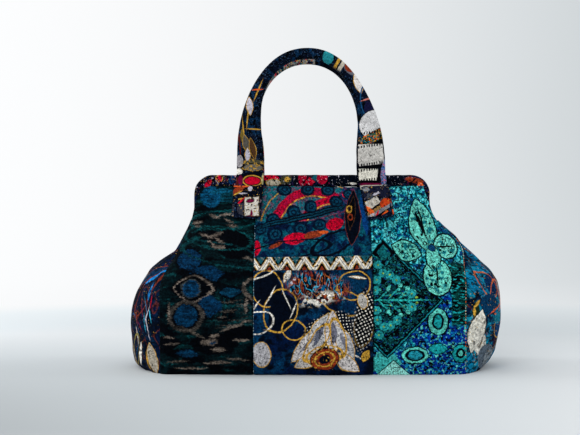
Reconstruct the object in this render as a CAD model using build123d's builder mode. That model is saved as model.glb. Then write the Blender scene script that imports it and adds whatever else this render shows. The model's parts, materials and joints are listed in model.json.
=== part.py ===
from build123d import *
import os

os.makedirs("parts", exist_ok=True)

# Carpet bag: patchwork cloth body on a flat base, closed by a hinged two-bar
# steel frame that runs in a cloth casing, with two padded arched handles.
# Millimetres. X is the width, Y the depth (front is -Y), Z is up.
# The origin is the centre of the base, on the surface the bag stands on.

FRONT = -1
REAR = 1
LEFT = -1
RIGHT = 1

# Cloth
quilt = 3.0                 # quilted outer cloth of the patches and gussets
lining_cloth = 1.0
lining_ease = 1.3           # the lining hangs this far inside the outer cloth
seam_gap = 0.3              # room left between neighbouring cloth pieces

# Body
base_half_width = 188.0     # front panel at the base, seam to seam, halved
base_half_depth = 88.0      # side seams at the base
belly_half_depth = 92.0     # side seams at the height of the belly
front_crown = 6.0           # how far the panel's middle stands proud of its side seams
belly_height = 60.0
shoulder_height = 95.0      # the panels' edges start to close towards the hinge here
seam_lean_start = 15.0      # the side seams lean inwards from this far above the shoulder
seam_lean_end = 18.0        # and stop leaning this far below the casing
neck_crown = 1.0            # the front crown where the panel meets the casing
crown_falloff = 1.6         # power by which the crown closes above the belly
gusset_full_height = 70.0   # the gusset keeps its full bulge up to here
gusset_bulge = 53.0         # gusset beyond the side seam at the belly
gusset_bulge_at_base = 39.0
gusset_bulge_at_tip = 4.0
gusset_tip_above_hinge = 8.0
lining_top_below_hinge = 9.0
foot_roll = 8.0             # height over which the cloth turns in to the base

# Frame
frame_width = 300.0
frame_leg = 63.6            # hinge pin to the outside of the top bar
channel_width = 10.0
channel_depth = 5.0
channel_wall = 1.2
bend_radius = 16.6          # centreline of the two top bends
leg_end_above_pin = 9.0
hinge_height = 181.0
half_parting = 0.3          # each closed frame half stops this far from the middle plane

# Hinge
lug_radius = 5.0
lug_side_gap = 0.2
pin_radius = 1.5
pin_running_clearance = 0.05
pin_head_radius = 3.0
pin_head = 1.0

# Casing
casing_cloth = 1.1
casing_ease = 0.3           # room between the steel and its casing
casing_corner = 2.2
panel_tuck = 8.0            # how far the panel's top corners draw in under the casing
panel_tuck_height = 28.0    # and over what height

# Patches, pocket
patch_seam_x = 73.0
pocket_cloth = 2.5
pocket_top = 127.0
pocket_band = 15.0
pocket_band_cloth = 3.0
pocket_foot = 3.0

# Handles
handle_half_span = 79.0     # leg centre from the bag's middle
handle_rise = 168.3         # centreline of the arch above the casing
handle_straight = 47.0      # straight leg above the casing
handle_step = 15            # degrees between the sections of the arch
handle_width = 34.7
handle_thickness = 8.6
grip_width = 14.5
grip_thickness = 16.0
grip_start = 28.0           # the strap starts to roll into a grip this far above the casing
grip_roll = 123.0           # height over which it does
strap_corner = 0.42         # corner radius over thickness
handle_lean = 10.0          # the grip's centre in front of its feet
tongue_width = 31.0
tongue_thickness = 6.0
tab_width = 38.0
tab_height = 43.0
tab_cloth = 1.8

# Base
board_thickness = 2.5
board_inset = 6.0

# Values that follow from the sizes above
casing_wall = casing_cloth + casing_ease
casing_front = half_parting + channel_depth + 2 * casing_wall
casing_width = channel_width + 2 * casing_wall
casing_top = hinge_height + frame_leg + casing_wall
casing_bottom = casing_top - casing_width
panel_top = casing_bottom - seam_gap
neck_half_width = frame_width / 2 + casing_wall + 2 * seam_gap
neck_half_depth = casing_front + 2 * seam_gap + quilt
layer_top = panel_top + channel_width
gusset_top = hinge_height + gusset_tip_above_hinge
lining_top = hinge_height - lining_top_below_hinge
board_bottom = quilt + seam_gap
lining_bottom = board_bottom + board_thickness + seam_gap
leg_end = hinge_height + leg_end_above_pin
channel_mid_y = half_parting + casing_wall + channel_depth / 2
channel_mid_x = frame_width / 2 - channel_width / 2
channel_mid_z = hinge_height + frame_leg - channel_width / 2


def ease(share):
    """Smooth step from 0 to 1."""
    t = min(max(share, 0.0), 1.0)
    return t * t * (3 - 2 * t)


def foot_tuck(z):
    """Share by which the cloth still draws in below the belly."""
    return (max(belly_height - z, 0.0) / belly_height) ** 2


def seam_half_width(z):
    """X of the side seam between the front panel and the gusset."""
    lean_start = shoulder_height + seam_lean_start
    lean_end = panel_top - seam_lean_end
    lean = ease((z - lean_start) / (lean_end - lean_start))
    tuck = panel_tuck * ease(1 - (panel_top - z) / panel_tuck_height)
    return base_half_width + (neck_half_width - base_half_width) * lean - tuck


def seam_half_depth(z):
    """Distance of the side seam from the middle plane."""
    belly = belly_half_depth + (base_half_depth - belly_half_depth) * foot_tuck(z)
    closing = ease((z - shoulder_height) / (hinge_height + leg_end_above_pin - shoulder_height))
    return belly + (neck_half_depth - belly) * closing


def crown_half_depth(z):
    """Distance of the panel's middle line from the middle plane."""
    belly = belly_half_depth + (base_half_depth - belly_half_depth) * foot_tuck(z)
    neck = neck_half_depth + neck_crown
    rise = min(max(z - belly_height, 0.0) / (panel_top - belly_height), 1.0)
    return neck + (belly + front_crown - neck) * (1 - rise ** crown_falloff)


def gusset_reach(z):
    """X of the gusset's middle line, its outermost line."""
    closing = ease((z - gusset_full_height) / (gusset_top - gusset_full_height))
    foot = (gusset_bulge - gusset_bulge_at_base) * foot_tuck(z)
    bulge = gusset_bulge + (gusset_bulge_at_tip - gusset_bulge) * closing - foot
    return seam_half_width(z) + bulge


def spread(low, high, steps):
    """Evenly spaced heights from low up to, but without, high."""
    return [low + (high - low) * step / steps for step in range(steps)]


lining_heights = [0, foot_roll] + spread(3 * foot_roll, shoulder_height, 3)
lining_heights += spread(shoulder_height, lining_top, 5) + [lining_top]
gusset_heights = lining_heights + [gusset_top]
layer_heights = lining_heights + spread(gusset_top, panel_top, 3) + [panel_top, layer_top]


def panel_layer(side, inner, outer):
    """Cloth layer over the whole front or rear, between two distances outside the panel's face."""
    sections = []
    for z in layer_heights:
        w = seam_half_width(z)
        edge = seam_half_depth(z)
        middle = crown_half_depth(z)
        with BuildSketch(Plane.XY.offset(z)) as section:
            with BuildLine():
                face = ThreePointArc(
                    (-w, side * (edge + outer)), (0, side * (middle + outer)), (w, side * (edge + outer))
                )
                back = ThreePointArc(
                    (w, side * (edge + inner)), (0, side * (middle + inner)), (-w, side * (edge + inner))
                )
                Line(face @ 1, back @ 0)
                Line(back @ 1, face @ 0)
            make_face()
        sections.append(section.sketch)
    loft(sections)


def keep_region(x_low, x_high, z_low, z_high):
    """Keep what lies between two X and two Z values."""
    deep = 4 * belly_half_depth
    with Locations(((x_low + x_high) / 2, 0, (z_low + z_high) / 2)):
        Box(x_high - x_low, deep, z_high - z_low, mode=Mode.INTERSECT)


def finish(piece, name):
    piece.part.label = name
    export_step(piece.part, f"parts/{name}.step")


# Front and rear panels, three patches each
wide = 2 * base_half_width
for side, side_name in ((FRONT, "front"), (REAR, "rear")):
    half_seam = seam_gap / 2
    patches = (
        ("left", -wide, -patch_seam_x - half_seam),
        ("centre", -patch_seam_x + half_seam, patch_seam_x - half_seam),
        ("right", patch_seam_x + half_seam, wide),
    )
    for patch_name, x_low, x_high in patches:
        with BuildPart() as patch:
            panel_layer(side, -quilt, 0)
            keep_region(x_low, x_high, 0, panel_top)
        finish(patch, f"{side_name}_{patch_name}_patch")

# Slip pocket on the front, with its braided band
with BuildPart() as pocket:
    panel_layer(FRONT, seam_gap, seam_gap + pocket_cloth)
    keep_region(-patch_seam_x, patch_seam_x, pocket_foot, pocket_top)
finish(pocket, "front_pocket")

with BuildPart() as band:
    panel_layer(FRONT, seam_gap, seam_gap + pocket_band_cloth)
    keep_region(-patch_seam_x, patch_seam_x, pocket_top + seam_gap, pocket_top + pocket_band)
finish(band, "front_pocket_band")

# Gussets: bowed out over the base, drawn in to a narrow hood round the hinge
for end, end_name in ((LEFT, "left"), (RIGHT, "right")):
    with BuildPart() as gusset:
        for z in gusset_heights:
            w = seam_half_width(z)
            d = seam_half_depth(z) - quilt - 2 * seam_gap
            reach = gusset_reach(z)
            with BuildSketch(Plane.XY.offset(z)):
                with BuildLine():
                    outside = ThreePointArc((end * w, -d), (end * reach, 0), (end * w, d))
                    inside = ThreePointArc(
                        (end * w, d - quilt), (end * (reach - quilt), 0), (end * w, quilt - d)
                    )
                    Line(outside @ 1, inside @ 0)
                    Line(inside @ 1, outside @ 0)
                make_face()
        loft()
    finish(gusset, f"{end_name}_gusset")


def plan_outline(level, z, inset):
    """Plan, drawn at a level, of the space inside the outer cloth at height z, less an inset."""
    w = seam_half_width(z) - inset
    d = seam_half_depth(z) - 2 * quilt - 3 * seam_gap - inset
    middle = crown_half_depth(z) - quilt - inset
    reach = gusset_reach(z) - quilt - inset
    with BuildSketch(Plane.XY.offset(level)) as outline:
        with BuildLine():
            ThreePointArc((-w, -d), (0, -middle), (w, -d))
            ThreePointArc((w, -d), (reach, 0), (w, d))
            ThreePointArc((w, d), (0, middle), (-w, d))
            ThreePointArc((-w, d), (-reach, 0), (-w, -d))
        make_face()
    return outline.sketch


# Base
with BuildPart() as base:
    extrude(plan_outline(0, 0, seam_gap), amount=quilt)
finish(base, "base_panel")

with BuildPart() as board:
    extrude(plan_outline(board_bottom, 0, board_inset), amount=board_thickness)
finish(board, "base_board")

# Lining: a loose inner bag, open at the top
with BuildPart() as hollow:
    loft([plan_outline(z, z, lining_ease + lining_cloth) for z in lining_heights])
    keep_region(-wide, wide, lining_bottom + lining_cloth, lining_top)

with BuildPart() as lining:
    loft([plan_outline(z, z, lining_ease) for z in lining_heights])
    keep_region(-wide, wide, lining_bottom, lining_top)
    add(hollow.part, mode=Mode.SUBTRACT)
finish(lining, "lining")

# Facings: the lining's upper bands, sewn under the casings between the frame's legs
facing_half_width = channel_mid_x - bend_radius
for side, side_name in ((FRONT, "front"), (REAR, "rear")):
    with BuildPart() as facing:
        facing_outer = -quilt - seam_gap
        panel_layer(side, facing_outer - lining_cloth, facing_outer)
        keep_region(-facing_half_width, facing_half_width, lining_top + seam_gap, panel_top)
    finish(facing, f"{side_name}_facing")


def leg_path(mid_y):
    """Centreline of a frame bar: up one leg, over the top, down the other."""
    with BuildLine(Plane.XZ.offset(-mid_y)) as path:
        FilletPolyline(
            (-channel_mid_x, leg_end),
            (-channel_mid_x, channel_mid_z),
            (channel_mid_x, channel_mid_z),
            (channel_mid_x, leg_end),
            radius=bend_radius,
        )
    return path


# Frame bars: open channel turned to the parting plane, a lug and a pin hole on each leg
for side, side_name in ((FRONT, "front"), (REAR, "rear")):
    mid_y = side * channel_mid_y
    lug_outside = frame_width / 2
    if side == REAR:
        lug_outside -= channel_wall + lug_side_gap
    lug_mid_x = lug_outside - channel_wall / 2
    pin_cut = 4 * channel_wall
    joggle = frame_width / 2 - lug_outside + channel_wall
    joggle_height = 2 * channel_wall
    with BuildPart() as bar:
        path = leg_path(mid_y)
        with BuildSketch(Plane.XY.offset(leg_end)):
            with Locations((-channel_mid_x, mid_y)):
                Rectangle(channel_width, channel_depth)
            with Locations((-channel_mid_x, mid_y - side * channel_wall)):
                Rectangle(channel_width - 2 * channel_wall, channel_depth, mode=Mode.SUBTRACT)
        sweep(path=path.line)
        for end in (LEFT, RIGHT):
            with BuildSketch(Plane.YZ.offset(end * lug_mid_x)):
                with Locations((0, hinge_height)):
                    Circle(lug_radius)
                with Locations((mid_y, leg_end - channel_wall)):
                    Rectangle(channel_depth, joggle_height)
                make_hull()
            extrude(amount=channel_wall / 2, both=True)
            with Locations((end * (frame_width / 2 - joggle / 2), mid_y, leg_end)):
                Box(joggle, channel_depth, joggle_height)
            with Locations(Plane.YZ.offset(end * lug_mid_x).location):
                with Locations((0, hinge_height)):
                    Cylinder(pin_radius + pin_running_clearance, pin_cut, mode=Mode.SUBTRACT)
    finish(bar, f"{side_name}_frame_bar")

# Hinge rivets through both lugs
lug_pack = 2 * channel_wall + lug_side_gap
for end, end_name in ((LEFT, "left"), (RIGHT, "right")):
    pack_mid = frame_width / 2 - lug_pack / 2
    grip = lug_pack + lug_side_gap
    with BuildPart() as rivet:
        with BuildSketch(Plane.YZ.offset(end * pack_mid)):
            with Locations((0, hinge_height)):
                Circle(pin_radius)
        extrude(amount=grip / 2 + pin_head / 2, both=True)
        for head_side in (-1, 1):
            with BuildSketch(Plane.YZ.offset(end * pack_mid + head_side * (grip + pin_head) / 2)):
                with Locations((0, hinge_height)):
                    Circle(pin_head_radius)
            extrude(amount=pin_head / 2, both=True)
    finish(rivet, f"{end_name}_hinge_rivet")

# Casings: a cloth tube round each bar
for side, side_name in ((FRONT, "front"), (REAR, "rear")):
    mid_y = side * channel_mid_y
    with BuildPart() as casing:
        path = leg_path(mid_y)
        with BuildSketch(Plane.XY.offset(leg_end)):
            with Locations((-channel_mid_x, mid_y)):
                outer_depth = channel_depth + 2 * casing_wall
                RectangleRounded(casing_width, outer_depth, casing_corner)
                Rectangle(
                    channel_width + 2 * casing_ease,
                    channel_depth + 2 * casing_ease,
                    mode=Mode.SUBTRACT,
                )
        sweep(path=path.line)
    finish(casing, f"{side_name}_casing")


def handle_stations():
    """Sections of a handle from its left foot to its right foot: place, direction, size."""
    straight = handle_straight
    arch_rise = handle_rise - straight
    stations = []
    for degrees in range(180, -1, -handle_step):
        point = Vector(handle_half_span, 0).rotate(Axis.Z, degrees)
        u = point.X
        v = straight + point.Y * arch_rise / handle_half_span
        grip = ease((v - grip_start) / grip_roll)
        stations.append((u, v, degrees - 90, grip))
    foot = (handle_half_span, 0, -90, 0)
    return [(-foot[0], foot[1], 90, 0)] + stations + [foot]


# Handles: padded straps, flat at the feet and rolled to a grip at the top
strap_back = casing_front + quilt + seam_gap
strap_foot_z = panel_top + 2 * seam_gap
strap_mid_y = strap_back + handle_thickness / 2
lean_up = Vector(0, handle_lean, handle_rise).normalized()
tongues = {}
for side in (FRONT, REAR):
    for end in (LEFT, RIGHT):
        middle = end * handle_half_span
        with BuildPart() as tongue:
            panel_layer(side, seam_gap, seam_gap + tongue_thickness)
            keep_region(
                middle - tongue_width / 2,
                middle + tongue_width / 2,
                panel_top - tab_height,
                panel_top + channel_width / 2,
            )
        tongues[side, end] = tongue.part
for side, side_name in ((FRONT, "front"), (REAR, "rear")):
    up = Vector(0, side * lean_up.Y, lean_up.Z)
    across = Vector(1, 0, 0)
    with BuildPart() as handle:
        for u, v, turn, grip in handle_stations():
            place = Vector(0, side * strap_mid_y, strap_foot_z) + across * u + up * v
            slope = Vector(1, 0).rotate(Axis.Z, turn)
            along = across * slope.X + up * slope.Y
            if v == 0:
                along = Vector(0, 0, slope.Y)
            width = handle_width + (grip_width - handle_width) * grip
            thickness = handle_thickness + (grip_thickness - handle_thickness) * grip
            face_out = Vector(0, side, 0)
            width_way = along.cross(face_out)
            with BuildSketch(Plane(place, x_dir=width_way, z_dir=along)):
                RectangleRounded(width, thickness, strap_corner * thickness)
        loft()
        for end in (LEFT, RIGHT):
            add(tongues[side, end])
    finish(handle, f"{side_name}_handle")

# Tabs: cloth squares sewn over the handles' feet
for side, side_name in ((FRONT, "front"), (REAR, "rear")):
    for end, end_name in ((LEFT, "left"), (RIGHT, "right")):
        tab_inner = 2 * seam_gap + tongue_thickness
        middle = end * handle_half_span
        with BuildPart() as tab:
            panel_layer(side, tab_inner, tab_inner + tab_cloth)
            keep_region(
                middle - tab_width / 2, middle + tab_width / 2, panel_top - tab_height, panel_top
            )
        finish(tab, f"{side_name}_{end_name}_tab")
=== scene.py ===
import json
import math

import bpy
import numpy as np
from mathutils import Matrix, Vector, noise


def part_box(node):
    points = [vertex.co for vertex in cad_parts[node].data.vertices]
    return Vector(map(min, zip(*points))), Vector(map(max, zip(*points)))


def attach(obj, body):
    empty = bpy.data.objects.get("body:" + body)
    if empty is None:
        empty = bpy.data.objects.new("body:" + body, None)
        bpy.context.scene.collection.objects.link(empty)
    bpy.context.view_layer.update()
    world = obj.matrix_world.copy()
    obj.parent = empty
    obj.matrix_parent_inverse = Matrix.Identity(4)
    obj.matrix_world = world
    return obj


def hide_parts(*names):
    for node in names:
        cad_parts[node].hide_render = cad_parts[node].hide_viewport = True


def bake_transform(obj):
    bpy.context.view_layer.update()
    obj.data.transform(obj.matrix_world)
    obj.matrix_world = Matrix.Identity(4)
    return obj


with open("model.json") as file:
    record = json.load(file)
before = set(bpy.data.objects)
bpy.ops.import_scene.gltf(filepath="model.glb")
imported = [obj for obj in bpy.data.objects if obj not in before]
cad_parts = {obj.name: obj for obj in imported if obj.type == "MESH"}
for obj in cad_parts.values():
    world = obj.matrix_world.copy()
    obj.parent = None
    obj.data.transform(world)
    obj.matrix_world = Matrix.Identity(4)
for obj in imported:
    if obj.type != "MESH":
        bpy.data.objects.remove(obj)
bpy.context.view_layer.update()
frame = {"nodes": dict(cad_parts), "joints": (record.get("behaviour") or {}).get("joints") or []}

MM = 0.001

# Places read from the frame, in millimetres
JOINTS = {j["name"]: j for j in frame["joints"]}
HINGE = JOINTS["front_frame_swing"]["pos_m"][2] / MM


def low(node):
    return [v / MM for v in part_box(node)[0]]


def high(node):
    return [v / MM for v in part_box(node)[1]]


PANEL_TOP = high("front_centre_patch")[2]
CASING_TOP = high("front_casing")[2]
CASING_X = high("front_casing")[0]
CASING_FRONT = -low("front_casing")[1]
CASING_BACK = -high("front_casing")[1]
LEG_END = low("front_casing")[2]
BASE_HALF_WIDTH = high("front_right_patch")[0]
PATCH_SEAM = low("front_right_patch")[0]
POCKET_TOP = high("front_pocket")[2]
BAND_TOP = high("front_pocket_band")[2]
TAB_FOOT = low("front_left_tab")[2]
HANDLE_TOP = high("front_handle")[2]
LINING_TOP = high("lining")[2]
GUSSET_TIP = high("left_gusset")[2]
HALF_SPAN = (low("front_right_tab")[0] + high("front_right_tab")[0]) / 2
BOARD_TOP = high("base_board")[2]

# Form of the cloth body, the same curves as the solids
BASE_HALF_DEPTH = 88.0
BELLY_HALF_DEPTH = 92.0
CROWN = 6.0
BELLY_HEIGHT = 60.0
SHOULDER = 95.0
NECK_HALF_WIDTH = CASING_X + 0.6
NECK_HALF_DEPTH = 11.7
PANEL_TUCK = 8.0
CLOTH = 2.4


def ease(t):
    t = np.clip(t, 0.0, 1.0)
    return t * t * (3 - 2 * t)


def bump(value, centre, reach):
    """Smooth hill, 1 at the centre."""
    return np.exp(-(((value - centre) / reach) ** 2))


def foot_tuck(z):
    return (np.maximum(BELLY_HEIGHT - z, 0.0) / BELLY_HEIGHT) ** 2


def seam_x(z, end):
    """Side seam, with the uneven shoulders of a filled bag."""
    lean_start = SHOULDER + 15.0
    lean_end = PANEL_TOP - 18.0
    lean = ease((z - lean_start) / (lean_end - lean_start))
    tuck = PANEL_TUCK * ease((z - lean_end + 10.0) / (PANEL_TOP - lean_end + 10.0))
    even = BASE_HALF_WIDTH + (NECK_HALF_WIDTH - BASE_HALF_WIDTH) * lean - tuck
    uneven = np.where(end < 0, -4.5 * bump(z, 146, 20), 18.5 * bump(z, 161, 28))
    return even + uneven


def seam_y(z):
    belly = BELLY_HALF_DEPTH + (BASE_HALF_DEPTH - BELLY_HALF_DEPTH) * foot_tuck(z)
    closing = ease((z - SHOULDER) / (HINGE + 9.0 - SHOULDER))
    return belly + (NECK_HALF_DEPTH - belly) * closing


def crown_y(z):
    belly = BELLY_HALF_DEPTH + (BASE_HALF_DEPTH - BELLY_HALF_DEPTH) * foot_tuck(z)
    neck = NECK_HALF_DEPTH + 1.0
    rise = np.clip((z - BELLY_HEIGHT) / (PANEL_TOP - BELLY_HEIGHT), 0, 1)
    return neck + (belly + CROWN - neck) * (1 - rise ** 1.6)


# Outermost lines of the two gussets: heights, then left and right
GUSSET_LINE = np.array((
    (0, 220, 221), (7, 229.5, 229.5), (20, 233, 237.5), (33, 233.2, 240), (46, 234, 242.5), (59, 234, 244),
    (72, 232.6, 244), (85, 230, 243.2), (98, 226.2, 242.4), (111, 220, 240), (124, 211, 233), (137, 195, 219),
    (150, 174.5, 204.5), (163, 167, 187), (176, 161, 174), (189, 156, 162),
))


def gusset_x(z, end):
    """Outermost line of a gusset, with the uneven fill of the bag."""
    drawn = np.interp(z, GUSSET_LINE[:, 0], GUSSET_LINE[:, 1 if end < 0 else 2])
    return np.maximum(drawn, seam_x(z, end) + 0.8)


def panel_y(x, z):
    """Distance of the front or rear panel from the middle plane."""
    w = np.where(x < 0, seam_x(z, -1), seam_x(z, 1))
    across = np.clip(np.abs(x) / w, 0, 1) ** 2
    return crown_y(z) + (seam_y(z) - crown_y(z)) * across


def ripple(x, z, size, seed):
    """Smooth noise from -1 to 1 over two coordinates."""
    flat_x = np.ravel(x) / size
    flat_z = np.ravel(z) / size
    values = [noise.noise((a + seed, b - seed, seed * 1.7)) for a, b in zip(flat_x, flat_z)]
    return np.reshape(values, np.shape(x)) * 1.6


def fold(x, z, foot, head, width):
    """A long soft ridge between two points, fading at its ends."""
    along = np.array(head, float) - foot
    length = np.hypot(*along)
    ux, uz = along / length
    t = ((x - foot[0]) * ux + (z - foot[1]) * uz) / length
    off = (x - foot[0]) * uz - (z - foot[1]) * ux
    return np.exp(-((off / width) ** 2)) * ease(t / 0.3) * ease((1 - t) / 0.3)


DRAG_FOLDS = (
    ((-92, 132), (-140, 222), 5.0, 1.6),
    ((-150, 128), (-147, 214), 6.0, 1.4),
    ((-176, 118), (-112, 150), 6.0, 1.5),
    ((98, 138), (138, 226), 5.0, 1.8),
    ((126, 132), (144, 222), 5.0, 1.6),
    ((178, 124), (120, 158), 7.0, 1.6),
    ((-30, 150), (-60, 222), 8.0, 0.8),
    ((34, 150), (52, 222), 8.0, 0.8),
)


def panel_relief(x, z, side):
    """How far the cloth of a panel stands off its smooth form, outwards."""
    seed = 3.1 if side < 0 else 8.7
    out = 1.5 * ripple(x, z, 62, seed) + 0.55 * ripple(x, z, 21, seed + 2)
    for foot, head, width, rise in DRAG_FOLDS:
        out = out + rise * fold(x * -side, z, foot, head, width)
    w = np.where(x < 0, seam_x(z, -1), seam_x(z, 1))
    side_gap = w - np.abs(x)
    patch_gap = np.abs(np.abs(x) - PATCH_SEAM)
    for gap, tight in ((side_gap, 1.0), (patch_gap, 0.6)):
        pucker = ripple(gap * 0.35, z, 6.5, seed + 4)
        out = out + tight * pucker * np.exp(-gap / 9.0)
    out = out - 1.9 * np.exp(-((patch_gap / 2.2) ** 2))
    out = out - 3.4 * np.exp(-((side_gap / 4.0) ** 2)) * ease((PANEL_TOP - 6 - z) / 30)
    gather = ripple(x, z * 0.22, 7.0, seed + 5)
    out = out + 0.7 * gather * ease((z - PANEL_TOP + 34) / 30)
    out = out - 1.5 * ease((z - PANEL_TOP + 5) / 5)
    out = out + 0.9 * ripple(x, z * 0.4, 12, seed + 7) * np.exp(-z / 9.0)
    return out


def grid_object(name, points, thickness=CLOTH, flat=None, close=False, levels=1):
    """A cloth piece from a grid of points in millimetres, thickened inwards."""
    rows, columns = points.shape[:2]
    faces = []
    for r in range(rows - 1):
        for c in range(columns - (0 if close else 1)):
            d = (c + 1) % columns
            faces.append((r * columns + c, r * columns + d, (r + 1) * columns + d, (r + 1) * columns + c))
    mesh = bpy.data.meshes.new(name)
    mesh.from_pydata((points.reshape(-1, 3) * MM).tolist(), [], faces)
    cloth = points[..., [0, 2, 1]] if flat is None else flat
    attribute = mesh.attributes.new("cloth", "FLOAT_VECTOR", "POINT")
    attribute.data.foreach_set("vector", np.ascontiguousarray(cloth, np.float32).ravel())
    mesh.polygons.foreach_set("use_smooth", [True] * len(faces))
    piece = bpy.data.objects.new(name, mesh)
    bpy.context.scene.collection.objects.link(piece)
    if levels:
        smooth = piece.modifiers.new("smooth", "SUBSURF")
        smooth.levels = levels
        smooth.render_levels = levels
        smooth.boundary_smooth = "PRESERVE_CORNERS"
    if thickness:
        thick = piece.modifiers.new("thickness", "SOLIDIFY")
        thick.thickness = thickness * MM
        thick.offset = -1
        thick.use_even_offset = False
    return piece


def displaced(points, relief, outward):
    """Moves a grid of points along its normals; outward is a rough outward direction."""
    du = np.gradient(points, axis=1)
    dv = np.gradient(points, axis=0)
    normal = np.cross(du, dv)
    normal /= np.maximum(np.linalg.norm(normal, axis=2, keepdims=True), 1e-9)
    facing = np.sign((normal * outward).sum(axis=2, keepdims=True))
    facing[facing == 0] = 1
    return points + normal * facing * relief[..., None]


# Colours, linear from display values
def rgb(r, g, b):
    return tuple(((v / 255 + 0.055) / 1.055) ** 2.4 if v > 10 else v / 255 / 12.92 for v in (r, g, b)) + (1,)


BLACK = rgb(2, 4, 8)
INK = rgb(3, 9, 22)
NAVY = rgb(5, 22, 52)
ROYAL = rgb(4, 56, 112)
DUSK = rgb(6, 50, 84)
PETROL = rgb(4, 56, 84)
TEAL = rgb(10, 98, 112)
BOTTLE = rgb(4, 24, 28)
MOSS = rgb(10, 62, 66)
MINT = rgb(92, 204, 188)
TURQUOISE = rgb(24, 158, 162)
CYAN = rgb(48, 168, 204)
CRIMSON = rgb(196, 6, 42)
WINE = rgb(104, 10, 52)
PLUM = rgb(104, 36, 92)
ORANGE = rgb(214, 88, 34)
RUST = rgb(134, 50, 26)
GOLD = rgb(196, 150, 56)
LIME = rgb(140, 176, 60)
CREAM = rgb(232, 227, 216)
LILAC = rgb(186, 182, 194)
TAUPE = rgb(124, 112, 102)
GREY = rgb(130, 134, 142)

LINES = {"line": 0.45, "ring": 0.9, "hoop": 1.8, "belt": 4.5}


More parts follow.
